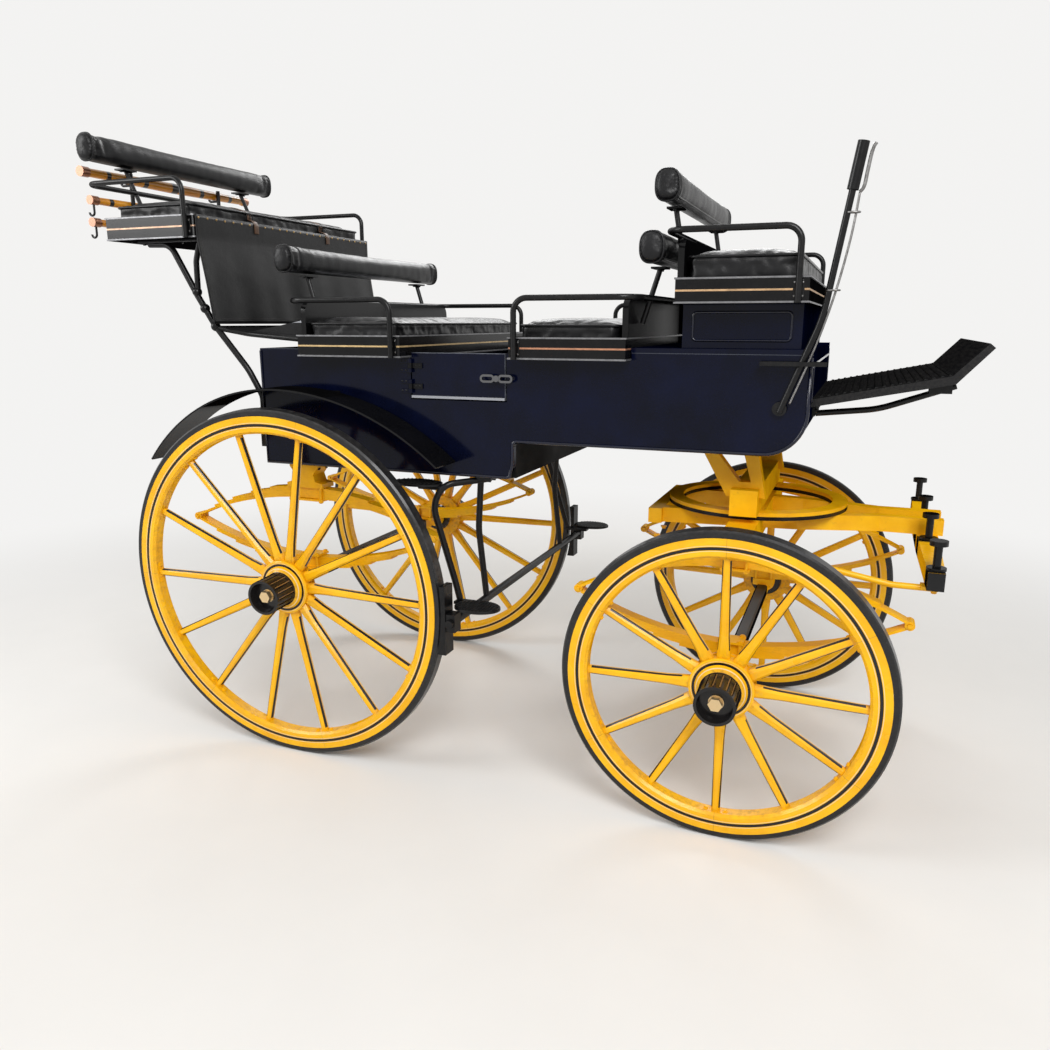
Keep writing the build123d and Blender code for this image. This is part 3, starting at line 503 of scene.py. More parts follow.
def seatMaterial(name, low, high, lineColour):
    def layers(g, coords):
        z = g.split(coords)[2]
        # a bright edge below and above, and a line between them
        edges = g.either(g.near(z, low + 0.0031, 0.0026), g.near(z, high - 0.0031, 0.0026))
        tarnish = g.ramp(g.cloudy(coords, 34, 5, 0.7), 0.35, 0.7, 1, 0.55)
        line = g.times(g.near(z, (low + high) / 2, 0.0026), tarnish)
        return [
            (g.times(edges, tarnish), bodyPaint["silver"], 0.7, 0.36),
            (line, lineColour, 0.45, 0.34),
        ]

    return blackFinish(name, 0.20, 12, 0.08, layers, (120, 0.03))


def navyMaterial(name, layers=None):
    return finish(name, bodyPaint["navyDeep"], bodyPaint["navy"], 0.13, 6, coat=0.10,
                  specular=0.12, layers=layers, ripple=(60, 0.02), dust=0.012)


def doorLayers(g, coords):
    x, y, z = g.split(coords)
    strip = g.below(z, doorLines["stripTop"])
    outer = g.above(g.size(y), doorLines["face"])
    handle = g.times(outer, g.above(z, doorLines["handleFoot"]),
                     g.inside(x, *doorLines["handle"]))
    hinge = g.times(outer, g.below(x, doorLines["hinge"]), g.above(z, doorLines["hingeFoot"]))
    # painted highlight along the door's top and front edges, brighter in some places than in
    # others
    paintedEdgeHighlight = g.ramp(g.cloudy(coords, 24, 4, 0.6), 0.35, 0.6, 0.25, 0.8)
    edge = g.either(g.above(z, doorLines["topEdge"]), g.above(x, doorLines["frontEdge"]))
    return [
        (g.times(edge, paintedEdgeHighlight), bodyPaint["paintedEdgeHighlight"], 0.2, 0.25),
        (hinge, bodyPaint["black"], 0.0, 0.35),
        (strip, bodyPaint["bright"], 0.7, 0.24),
        (handle, bodyPaint["handle"], 0.95, 0.14),
    ]


def sideLayers(g, coords):
    lip = g.near(g.split(coords)[2], *bodyLines["lip"])
    return [(lip, bodyPaint["lip"], 0.2, 0.25)]


def axleLayers(g, coords):
    middle = g.below(g.size(g.split(coords)[1]), bodyLines["blackAxle"])
    return [(middle, bodyPaint["black"], 0.0, 0.32)]


def springLayers(g, coords):
    # painted shade in the gaps between the leaves, with oil and dirt, as streaks along their
    # flanks
    far = g.size(g.split(coords)[1])
    dirtAndShade = g.ramp(g.cloudy(coords, 48, 6, 0.7, (1, 1, 5)), 0.50, 0.72, 0, 0.35)
    flank = g.ramp(g.size(g.less(far, bodyLines["springs"])), 0.0195, 0.0225, 0, 1)
    return [(g.times(dirtAndShade, flank), wheelPaint["leafShadeAndOil"], 0.0, 0.5)]


def barLayers(g, coords):
    x, y, z = g.split(coords)
    far = g.size(y)
    upper = g.above(z, barLines["upper"])
    end = g.either(g.times(upper, g.above(far, barLines["upperEnd"])),
                   g.times(g.less(1.0, upper), g.above(far, barLines["lowerEnd"])))
    bands = g.either(*(g.near(far, *band) for band in barLines["bands"]))
    return [
        (bands, bodyPaint["black"], 0.0, 0.3),
        (end, bodyPaint["copper"], 0.75, 0.36),
    ]


def frameLayers(g, coords):
    worn = g.ramp(g.cloudy(coords, 52, 6, 0.7), 0.60, 0.72, 0, 0.4)
    return [(worn, wheelPaint["worn"], 0.0, 0.45)]


def splinterLayers(g, coords):
    far = g.size(g.split(coords)[1])
    bands = g.either(*(g.near(far, *band) for band in splinterLines["bands"]),
                     g.below(far, splinterLines["middle"]), g.above(far, splinterLines["end"]))
    fine = g.either(*(g.near(far, place, splinterLines["fineHalf"])
                      for place in splinterLines["fine"]))
    return [
        (bands, bodyPaint["black"], 0.0, 0.3),
        (fine, wheelPaint["line"], 0.0, 0.3),
    ]


def toeLayers(g, coords):
    # dark ribs, and bright binding along the top of the toe board
    x, y, z = g.split(coords)
    ribs = g.above(g.calc("SINE", g.times(y, 2 * math.pi / toeLines["pitch"])), 0.35)
    return [
        (g.times(ribs, g.below(z, toeLines["ribsTop"])), bodyPaint["rubber"], 0.0, 0.62),
        (g.above(z, toeLines["binding"]), bodyPaint["bright"], 0.9, 0.28),
    ]


# dark and light shade, gloss, size of the spots, and what else differs
paints = {
    "floorBlack": ((0.0025, 0.0025, 0.0026), (0.006, 0.0058, 0.0058), 0.6, 12,
                   dict(specular=0.12, ripple=(90, 0.12), dust=0.03)),
    "ironBlack": ((0.0025, 0.0025, 0.003), (0.006, 0.006, 0.0065), 0.28, 40,
                  dict(coat=0.06, specular=0.22, ripple=(240, 0.10), dust=0.03)),
    "boardBlack": ((0.006, 0.006, 0.007), (0.015, 0.0145, 0.0145), 0.45, 10,
                   dict(specular=0.2, ripple=(90, 0.18), streak=(14, 1, 14), dust=0.06)),
    "toeBoard": ((0.004, 0.004, 0.0045), (0.010, 0.010, 0.011), 0.32, 12,
                 dict(specular=0.22, layers=toeLayers, ripple=(120, 0.10), dust=0.04)),
    "yellowBar": ((0.52, 0.185, 0.008), (0.80, 0.34, 0.012), 0.28, 30,
                  dict(coat=0.4, layers=barLayers, ripple=(150, 0.05), streak=(1, 0.08, 1))),
    "navyBead": (bodyPaint["navyDeep"], bodyPaint["navy"], 0.18, 8,
                 dict(coat=0.25, specular=0.35, ripple=(90, 0.03), dust=0.02)),
    "dullSteel": ((0.16, 0.155, 0.15), (0.30, 0.295, 0.29), 0.34, 60,
                  dict(metal=0.9, ripple=(300, 0.08), dust=0.05)),
    "dullBrass": ((0.26, 0.16, 0.06), (0.46, 0.31, 0.13), 0.36, 60,
                  dict(metal=0.9, ripple=(300, 0.08), dust=0.05)),
    "treadRubber": ((0.005, 0.005, 0.0055), (0.012, 0.012, 0.0125), 0.55, 50,
                    dict(specular=0.25, ripple=(300, 0.2), dust=0.12)),
    "paleThread": ((0.16, 0.12, 0.075), (0.24, 0.19, 0.12), 0.6, 90, {}),
    "linenThread": ((0.030, 0.028, 0.026), (0.060, 0.056, 0.050), 0.6, 90, {}),
}
materials = {
    "navy": navyMaterial("navyGloss"),
    "navySide": navyMaterial("navySide", sideLayers),
    "navyDoor": navyMaterial("navyDoor", doorLayers),
    "blackGloss": blackFinish("blackGloss", 0.16, 8, 0.12),
    "yellowIron": yellowFinish("yellowIron", 0.33, 12, frameLayers),
    "yellowSpring": yellowFinish("yellowSpring", 0.33, 12, springLayers),
    "yellowAxle": yellowFinish("yellowAxle", 0.33, 12, axleLayers),
    "splinterWood": yellowFinish("splinterWood", 0.30, 30, splinterLayers, (150, 0.05),
                                 streak=(1, 0.1, 1)),
    "yellowNut": yellowFinish("yellowNut", 0.28, 20, ripple=(220, 0.05), dust=0.05),
}
for name, (*values, others) in paints.items():
    materials[name] = finish(name, *values, **others)
for name, values in seatLines.items():
    materials[name] = seatMaterial(name + "Paint", *values)

# which finish each CAD node wears; each seat wears its own
finishes = {
    "navySide": ["body_side_right", "body_side_left"],
    "navyDoor": ["door_right", "door_left"],
    "navy": ["body_rear_panel", "boot_panel", "box_riser", "seat_risers"],
    "blackGloss": ["wings"],
    "floorBlack": ["body_floor"],
    "ironBlack": ["hind_stays", "steps", "brake_gear", "brake_blocks", "brake_lever",
                  "bar_irons", "footboard_irons", "turntable_ring", "roller_bolts",
                  "rail_hind", "rail_middle", "rail_front", "rail_box"],
    "boardBlack": ["footboard"],
    "toeBoard": ["hind_footboard"],
    "yellowIron": ["spring_blocks_rear", "upper_carriage", "fore_frame"],
    "yellowSpring": ["springs_rear", "springs_front"],
    "yellowAxle": ["axle_rear", "axle_front"],
    "yellowBar": ["lead_bars"],
    "splinterWood": ["splinter_bar"],
    **{seat: [seat] for seat in seatLines},
}
for key, names in finishes.items():
    for name in names:
        paintNode(name, materials[key])
print("frame painted")


def leatherMaterial(name, dark, light, gloss):
    # two shades with rubbed places, over fine cells, creases and soft dents
    material, g, shader = newMaterial(name)
    coords = g.coords()
    shade = g.cloudy(coords, 7, 5, 0.6)
    colour = g.mix(g.ramp(shade, 0.35, 0.68, 0, 1), dark, light)
    rub = g.ramp(g.cloudy(coords, 26, 6, 0.7), 0.58, 0.74, 0, 0.35)
    colour = g.mix(rub, colour, tuple(2.4 * c for c in light))
    warp = g.add("ShaderNodeTexNoise", {"Vector": coords, "Scale": 18})
    bent = g.add("ShaderNodeMix", {0: 0.05, 4: coords, 5: warp.outputs["Color"]},
                 data_type="VECTOR")
    normal = g.raised(g.ramp(g.cracks(coords, 420), 0, 0.25, 0, 1), 0.16, 0.0006)
    normal = g.raised(g.ramp(g.cracks(bent.outputs[1], 60), 0, 0.08, 0, 1), 0.10, 0.001, normal)
    normal = g.raised(g.cloudy(coords, 14, 4, 0.5), 0.12, 0.01, normal)
    rough = g.ramp(shade, 0.3, 0.7, gloss * 0.82, gloss * 1.2)
    g.wire(shader, {"Base Color": colour, "Roughness": rough, "Normal": normal,
                    "Specular IOR Level": 0.26})
    return material


leather = {key: leatherMaterial(key + "Leather", *values) for key, values in {
    "black": ((0.003, 0.003, 0.0035), (0.0085, 0.0085, 0.0095), 0.36),
    "piping": ((0.005, 0.005, 0.0055), (0.012, 0.012, 0.013), 0.30),
    "fall": ((0.0028, 0.0028, 0.0032), (0.007, 0.007, 0.0075), 0.42),
    "strap": ((0.060, 0.028, 0.014), (0.120, 0.060, 0.028), 0.42),
}.items()}

# tools for shapes

def painted(mesh, paint, smooth=True):
    mesh.materials.clear()
    mesh.materials.append(paint)
    for face in mesh.polygons:
        face.use_smooth = smooth


def keep(piece, body="carriage_body", replaced=None):
    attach(piece, body)
    if replaced:
        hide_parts(replaced)
    return piece


def addPiece(name, mesh, paint, slot, smooth=True):
    painted(mesh, paint, smooth)
    return keep(newObject(name, mesh))


def plainMesh(piece):
    # the mesh as the modifiers leave it
    return bpy.data.meshes.new_from_object(
        piece.evaluated_get(bpy.context.evaluated_depsgraph_get()))


def settled(piece):
    mesh = plainMesh(piece)
    piece.modifiers.clear()
    piece.data = mesh
    return piece


def meshFrom(name, points, faces=(), edges=()):
    mesh = bpy.data.meshes.new(name)
    mesh.from_pydata([tuple(p) for p in points], list(edges), list(faces))
    mesh.validate()
    mesh.update()
    return mesh


def outwards(mesh):
    work = bmesh.new()
    work.from_mesh(mesh)
    bmesh.ops.recalc_face_normals(work, faces=work.faces)
    work.to_mesh(mesh)
    work.free()
    mesh.update()
    return mesh


def together(meshes):
    # the points and faces of several meshes as one
    points, faces = [], []
    for mesh in meshes:
        start = len(points)
        points += [v.co.copy() for v in mesh.vertices]
        faces += [[start + i for i in face.vertices] for face in mesh.polygons]
    return points, faces


def joined(name, meshes):
    points, faces = together(meshes)
    for mesh in meshes:
        bpy.data.meshes.remove(mesh)
    return meshFrom(name, points, faces)


def surfaceOf(*pieces):
    return BVHTree.FromPolygons(*together([piece.data for piece in pieces]))


def circle(count):
    # cosine and sine of equal steps of a turn
    turns = (2 * math.pi * k / count for k in range(count))
    return [(math.cos(a), math.sin(a)) for a in turns]


def loftMesh(name, rings, closed=False):
    # faces between the rings of points, with a cap at each end unless it is closed
    count, sides = len(rings), len(rings[0])
    points = [p for ring in rings for p in ring]
    faces = [] if closed else [list(range(sides))[::-1]]
    for i in range(count if closed else count - 1):
        j, offset = (i + 1) % count, 0
        if j == 0:
            # a tube may come back turned, so its last ring is matched to the first
            offset = min(range(sides), key=lambda k: (points[k] - points[i * sides]).length)
        for k in range(sides):
            n = (k + 1) % sides
            faces.append([i * sides + k, i * sides + n, j * sides + (n + offset) % sides,
                          j * sides + (k + offset) % sides])
    if not closed:
        faces.append([(count - 1) * sides + k for k in range(sides)])
    return meshFrom(name, points, faces)


def tubeMesh(name, path, radius, sides=10, closed=False):
    path = [Vector(p) for p in path]
    count = len(path)
    ahead = []
    for i in range(count):
        before = path[i - 1] if closed or i else path[i]
        after = path[(i + 1) % count] if closed or i < count - 1 else path[i]
        ahead.append((after - before).normalized())
    normal = ahead[0].orthogonal().normalized()
    rings = []
    for place, way in zip(path, ahead):
        normal = (normal - way * normal.dot(way)).normalized()
        across = way.cross(normal)
        rings.append([place + radius * (c * normal + s * across) for c, s in circle(sides)])
    return loftMesh(name, rings, closed)


def arc(cx, cy, radius, start, end, count):
    return [(cx + radius * math.cos(math.radians(a)), cy + radius * math.sin(math.radians(a)))
            for a in np.linspace(start, end, count)]


def roundedRectangle(x0, x1, y0, y1, corner, step=0.02):
    points = []
    centres = ((x1 - corner, y1 - corner, 0), (x0 + corner, y1 - corner, 90),
               (x0 + corner, y0 + corner, 180), (x1 - corner, y0 + corner, 270))
    for cx, cy, start in centres:
        points += arc(cx, cy, corner, start, start + 90, 7)
    full = []
    for p, q in zip(points, points[1:] + points[:1]):
        parts = max(1, round(math.dist(p, q) / step))
        full += [(p[0] + (q[0] - p[0]) * k / parts, p[1] + (q[1] - p[1]) * k / parts)
                 for k in range(parts)]
    return full


def softened(path):
    # corners of an open path are cut twice, its ends stay
    for turn in range(2):
        fresh = [path[0]]
        for a, b in zip(path, path[1:]):
            fresh += [a * 0.75 + b * 0.25, a * 0.25 + b * 0.75]
        path = fresh + [path[-1]]
    return path


def pointsOf(mesh, kind="co"):
    values = np.zeros(len(mesh.vertices) * 3)
    mesh.vertices.foreach_get(kind, values)
    return values.reshape(-1, 3)


def setPoints(mesh, co):
    mesh.vertices.foreach_set("co", np.asarray(co, np.float32).ravel())
    mesh.update()


def onSurface(surface, path, way, lift):
    # each point of the path is dropped along way on to the surface, then lifted off it
    way = Vector(way)
    hits = (surface.ray_cast(Vector(p) - way * 0.05, way, 0.12)[0] for p in path)
    return [hit - way * lift for hit in hits if hit is not None]


down, right, left, back, ahead, up = ((0, 0, -1), (0, -1, 0), (0, 1, 0), (-1, 0, 0), (1, 0, 0),
                                      (0, 0, 1))


rearAxle = 607.54149    # millimetres behind the middle of the frame


def rowPlace(x, y, z):
    # millimetres from the rear axle, as on the carriage's plan, to metres in the frame
    return ((x - rearAxle) / 1000, y / 1000, z / 1000)


# tools for details that repeat, made with Geometry Nodes

def newTree(name, sizes):
    # sizes are the named inputs that a user may change
    tree = bpy.data.node_groups.new(name, "GeometryNodeTree")
    sockets = [("Geometry", "INPUT", "Geometry"), *((label, "INPUT", "Float") for label in sizes),
               ("Material", "INPUT", "Material"), ("Geometry", "OUTPUT", "Geometry")]
    for label, way, kind in sockets:
        tree.interface.new_socket(label, in_out=way, socket_type="NodeSocket" + kind)
    g = Graph(tree)
    return g, g.add("NodeGroupInput").outputs


def shaped(g, kind, sizes, **moved):
    # a basic form, scaled, turned or shifted
    form = g.add("GeometryNodeMesh" + kind, sizes)
    return g.add("GeometryNodeTransform", {"Geometry": form.outputs["Mesh"], **moved}).outputs[0]


def copied(g, points, shape, vector, axis, paint):
    # a copy of the shape at every point, its axis along the vector, as one plain mesh
    turned = g.add("FunctionNodeAlignRotationToVector", {"Vector": vector}, axis=axis)
    copies = g.add("GeometryNodeInstanceOnPoints", {
        "Points": points, "Instance": shape, "Rotation": turned.outputs[0]})
    real = g.add("GeometryNodeRealizeInstances", {0: copies.outputs[0]})
    flat = g.add("GeometryNodeSetShadeSmooth", {"Geometry": real.outputs[0],
                                                "Shade Smooth": False})
    coated = g.add("GeometryNodeSetMaterial", {"Geometry": flat.outputs[0], "Material": paint})
    g.add("NodeGroupOutput", {0: coated.outputs[0]})
    return g.tree


def atPoints(g, given, shape):
    # the shape stands on each point, along the point's facing attribute
    facing = g.add("GeometryNodeInputNamedAttribute", {"Name": "facing"},
                   data_type="FLOAT_VECTOR").outputs["Attribute"]
    return copied(g, given["Geometry"], shape, facing, "Z", given["Material"])


def alongEdges(g, given, pitch, shape, axis):
    # the shape repeats at every pitch along the edges
    curve = g.add("GeometryNodeMeshToCurve", {"Mesh": given["Geometry"]})
    even = g.add("GeometryNodeResampleCurve", {"Curve": curve.outputs[0], "Length": pitch},
                 mode="LENGTH")
    tangent = g.add("GeometryNodeInputTangent").outputs[0]
    return copied(g, even.outputs[0], shape, tangent, axis, given["Material"])


rodForm = {"Vertices": 8, "Radius": 0.5, "Depth": 1.0}
acrossBoard = (math.pi / 2, 0, 0)


def stitchTree():
    # short thread stitches
    g, given = newTree("stitches", ("Spacing", "Length", "Thickness"))
    thick = given["Thickness"]
    thread = shaped(g, "UVSphere", {"Segments": 6, "Rings": 4, "Radius": 0.5},
                    Scale=g.vector(thick, thick, given["Length"]))
    return alongEdges(g, given, given["Spacing"], thread, "Z")


def boltTree():
    # a hexagon head on a washer
    g, given = newTree("bolts", ("Across", "Height"))
    across, height = given["Across"], given["Height"]
    head = shaped(g, "Cylinder", {"Vertices": 6, "Radius": g.times(across, 0.5), "Depth": height},
                  Translation=g.vector(0.0, 0.0, g.times(height, 0.65)))
    washer = g.add("GeometryNodeMeshCylinder", {
        "Vertices": 14, "Radius": g.times(across, 0.72), "Depth": g.times(height, 0.5)})
    whole = g.add("GeometryNodeJoinGeometry", {0: head})
    g.feed(whole.inputs[0], washer.outputs["Mesh"])
    return atPoints(g, given, whole.outputs[0])


def nailTree():
    # a low domed head
    g, given = newTree("nails", ("Across", "Height"))
    dome = shaped(g, "UVSphere", {"Segments": 10, "Rings": 6, "Radius": 0.5},
                  Scale=g.vector(given["Across"], given["Across"], g.times(given["Height"], 2.0)))
    return atPoints(g, given, dome)


def ribTree():
    # round-topped ribs across the path; length is theirs across the board
    g, given = newTree("ribs", ("Pitch", "Length", "Width", "Height"))
    rod = shaped(g, "Cylinder", rodForm, Rotation=acrossBoard,
                 Scale=g.vector(given["Width"], given["Height"], given["Length"]))
    return alongEdges(g, given, given["Pitch"], rod, "X")


def treadTree():
    # raised ribs that fill an oval; each rib ends at the oval's edge
    g, given = newTree("treads", ("Length", "Width", "Pitch", "Rib"))
    half = g.times(given["Length"], 0.5)
    row = g.add("GeometryNodeMeshLine", {
        "Start Location": g.vector(g.times(half, -0.96), 0.0, 0.0),
        "Offset": g.vector(g.times(half, 0.96), 0.0, 0.0), "Resolution": given["Pitch"]},
        mode="END_POINTS", count_mode="RESOLUTION")
    place = g.add("GeometryNodeInputPosition").outputs[0]
    share = g.calc("DIVIDE", g.split(place)[0], half)
    chord = g.calc("SQRT", g.less(1.0, g.times(share, share)))
    ribs = g.add("GeometryNodeInstanceOnPoints", {
        "Points": row.outputs[0], "Instance": shaped(g, "Cylinder", rodForm, Rotation=acrossBoard),
        "Scale": g.vector(given["Rib"], g.times(chord, given["Width"]), given["Rib"])})
    one = g.add("GeometryNodeGeometryToInstance", {0: ribs.outputs[0]})
    return atPoints(g, given, one.outputs[0])


trees = {"stitch": stitchTree(), "bolt": boltTree(), "nail": nailTree(), "rib": ribTree(),
         "tread": treadTree()}


def grow(name, mesh, kind, paint, slot, body="carriage_body", **values):
    # the plain mesh that a tree makes of the points or edges, kept as a piece
    seed = newObject(name + "Seed", mesh)
    work = seed.modifiers.new("grow", "NODES")
    work.node_group = trees[kind]
    values["Material"] = paint
    for item in trees[kind].interface.items_tree:
        if item.in_out == "INPUT" and item.name in values:
            work[item.identifier] = values[item.name]
    result = plainMesh(seed)
    bpy.data.objects.remove(seed)
    result.name = name
    return keep(newObject(name, result), body)


def pointMesh(name, spots):
    # spots are (place, facing) pairs
    mesh = meshFrom(name, [place for place, facing in spots])
    facing = mesh.attributes.new("facing", "FLOAT_VECTOR", "POINT")
    for number, (place, way) in enumerate(spots):
        facing.data[number].vector = way
    return mesh


def edgeMesh(name, paths):
    # open or closed runs of points; a closed one repeats its first point
    points, edges = [], []
    for path in paths:
        start = len(points)
        points += path
        edges += [(start + k, start + k + 1) for k in range(len(path) - 1)]
    return meshFrom(name, points, edges=edges)


def stitched(name, runs, paint, sizes):
    return grow(name + "Stitches", edgeMesh(name + "Rows", runs), "stitch", paint,
                "leather_black", **sizes)


def studded(name, spots, kind, size, paint, slot, body="carriage_body"):
    # bolts or nails; the size is the head's width and height, metres
    return grow(name, pointMesh(name + "Spots", spots), kind, paint, slot, body,
                Across=size[0], Height=size[1])


# cushions and back rolls: filled by cloth simulation, then seamed

padSettings = {
    "voxel": 0.010,
    "cloth": {"quality": 5, "mass": 0.3, "use_pressure": True, "uniform_pressure_force": 4.0,
              "vertex_group_mass": "seams", "shrink_min": -0.035},
    "frames": 20,
    "crown": 0.012,      # how far the top may swell
    "bulge": 0.006,      # how far the sides may swell
    "rollSwell": 0.0055,
    "piping": 0.0042,
    "wrinkle": 0.0026,
    "stitchInset": 0.0105,
    "stitch": {"Spacing": 0.0075, "Length": 0.0052, "Thickness": 0.0011},
    "threadLift": 0.0003,
    "corner": 0.026,
    "seam": 0.013,       # below the top of the cushion's room
    "shrink": 0.003,     # the cushion starts smaller, because it swells
    # height and inset of each ring, from the cushion's foot and then from its seam
    "lower": ((0.001, 0.012), (0.006, 0.004), (0.030, 0.002)),
    "upper": ((-0.020, 0.002), (0.0, 0.0), (0.0045, 0.010), (0.008, 0.030), (0.0105, 0.070),
              (0.011, 0.120)),
    # distance from the roll's end and size of each ring
    "rollRings": ((0.002, 0.20), (0.003, 0.62), (0.008, 0.86), (0.017, 0.955), (0.026, 0.985),
                  (0.060, 1.0), (0.200, 1.0)),
    "rollWelt": 0.020,
}


def fillPad(piece, held, cap, settings):
    # held is 0 to 1 for each point, cap how far each may move
    rest = pointsOf(piece.data)
    group = piece.vertex_groups.new(name="seams")
    for i in np.nonzero(held > 0.02)[0]:
        group.add([int(i)], float(held[i]), "REPLACE")
    cloth = piece.modifiers.new("filling", "CLOTH")
    for key, value in settings["cloth"].items():
        setattr(cloth.settings, key, value)
    cloth.settings.effector_weights.gravity = 0
    cloth.point_cache.frame_start = 1
    cloth.point_cache.frame_end = settings["frames"]
    for step in range(1, settings["frames"] + 1):
        scene.frame_set(step)
    after = pointsOf(piece.evaluated_get(bpy.context.evaluated_depsgraph_get()).data)
    piece.modifiers.clear()
    piece.vertex_groups.clear()
    scene.frame_set(1)
    shift = after - rest
    length = np.linalg.norm(shift, axis=1)
    scale = np.where(length > 1e-9, cap * np.tanh(length / np.maximum(cap, 1e-6)) /
                     np.maximum(length, 1e-9), 0)
    setPoints(piece.data, rest + shift * scale[:, None])
    soft = piece.modifiers.new("soft", "SUBSURF")
    soft.levels = soft.render_levels = 1
    settled(piece)


def remeshed(name, rings, voxel):
    piece = newObject(name + "Pad", loftMesh(name + "Shape", rings))
    even = piece.modifiers.new("even", "REMESH")
    even.mode = "VOXEL"
    even.voxel_size = voxel
    return settled(piece)


def keepPad(name, piece, welts):
    painted(piece.data, leather["black"])
    keep(piece, replaced=name)
    addPiece(name + "Piping", joined(name + "Piping", welts), leather["piping"], "leather_black")
    print(name, "filled")


def wrinkled(mesh, low, high, seamLevel, depth, seed):
    # folds that run out from the seam, deepest close to it and at the corners
    co, no = pointsOf(mesh), pointsOf(mesh, "normal")
    moved = co.copy()
    for i, (p, n) in enumerate(zip(co, no)):
        if n[2] < -0.5:
            continue
        asideX, asideY = min(p[0] - low[0], high[0] - p[0]), min(p[1] - low[1], high[1] - p[1])
        aside = min(asideX, asideY)
        onTop = n[2] > 0.6
        along = p[1] if asideX < asideY else p[0]
        away = aside if onTop else abs(p[2] - seamLevel)
        fold = noise.noise(Vector((along * 30 + seed, away * 9, seed)))
        fold += 0.5 * noise.noise(Vector((along * 71, away * 16, seed + 4)))
        reach = 0.055 if onTop else 0.034
        push = depth * fold * math.exp(-away / reach) * min(1, away / 0.006)
        if onTop:
            push += depth * 1.1 * noise.noise(Vector((p[0] * 7, p[1] * 4.5, seed + 9)))
            crease = noise.noise(Vector((p[0] * 13 + seed, p[1] * 9, 2.5)))
            push -= depth * 0.8 * max(0, 0.12 - abs(crease)) / 0.12 * (
                1 - math.exp(-aside / 0.03))
        moved[i] = p + n * push
    setPoints(mesh, moved)


def seatPad(name, settings, number):
    low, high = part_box(name)
    corner, shrink = settings["corner"], settings["shrink"]
    seam = high[2] - settings["seam"]

    def outlineAt(inset, corner, step=0.02):
        inset += shrink
        return roundedRectangle(low[0] + inset, high[0] - inset, low[1] + inset, high[1] - inset,
                                corner, step)

    rings = [[(x, y, start + rise)
              for x, y in outlineAt(inset, max(0.008, corner - inset * 0.5))]
             for start, part in ((low[2], "lower"), (seam, "upper"))
             for rise, inset in settings[part]]
    count = min(len(ring) for ring in rings)
    rings = [[ring[round(i * len(ring) / count) % len(ring)] for i in range(count)]
             for ring in rings]
    piece = remeshed(name, rings, settings["voxel"])
    co = pointsOf(piece.data)
    aside = np.minimum.reduce([co[:, 0] - low[0], high[0] - co[:, 0],
                               co[:, 1] - low[1], high[1] - co[:, 1]])
    nearSeam = np.hypot(co[:, 2] - seam, np.maximum(aside - shrink, 0))
    held = np.clip(1.6 - nearSeam / 0.008, 0, 1)
    held = np.maximum(held, np.clip((low[2] + 0.052 - co[:, 2]) / 0.02, 0, 1))
    cap = np.where(co[:, 2] > seam + 0.002, settings["crown"], settings["bulge"])
    fillPad(piece, held, cap * (1 - 0.98 * held) + 1e-4, settings)
    wrinkled(piece.data, low, high, seam, settings["wrinkle"], number * 3.7)
    # the welt along the upper edge
    welt = [(x, y, seam) for x, y in outlineAt(0.0, corner, 0.03)]
    keepPad(name, piece, [tubeMesh("welt", welt, settings["piping"], 8, True)])
    # stitches along the top, and a row round the sides under the welt
    surface = surfaceOf(piece)
    inset, lift = settings["stitchInset"], settings["threadLift"]
    ring = outlineAt(inset, corner - 0.008, 0.012)
    rows = [([(x, y, seam + 0.02) for x, y in ring + ring[:1]], down)]
    for side, way in ((low[1], left), (high[1], right)):
        rows.append(([(x, side, seam - inset)
                      for x in np.linspace(low[0] + 0.03, high[0] - 0.03, 26)], way))
    for side, way in ((low[0], ahead), (high[0], back)):
        rows.append(([(side, y, seam - inset)
                      for y in np.linspace(low[1] + 0.03, high[1] - 0.03, 80)], way))
    runs = (onSurface(surface, row, way, lift) for row, way in rows)
    stitched(name, [run for run in runs if len(run) > 2], materials["linenThread"],
             settings["stitch"])
    return piece


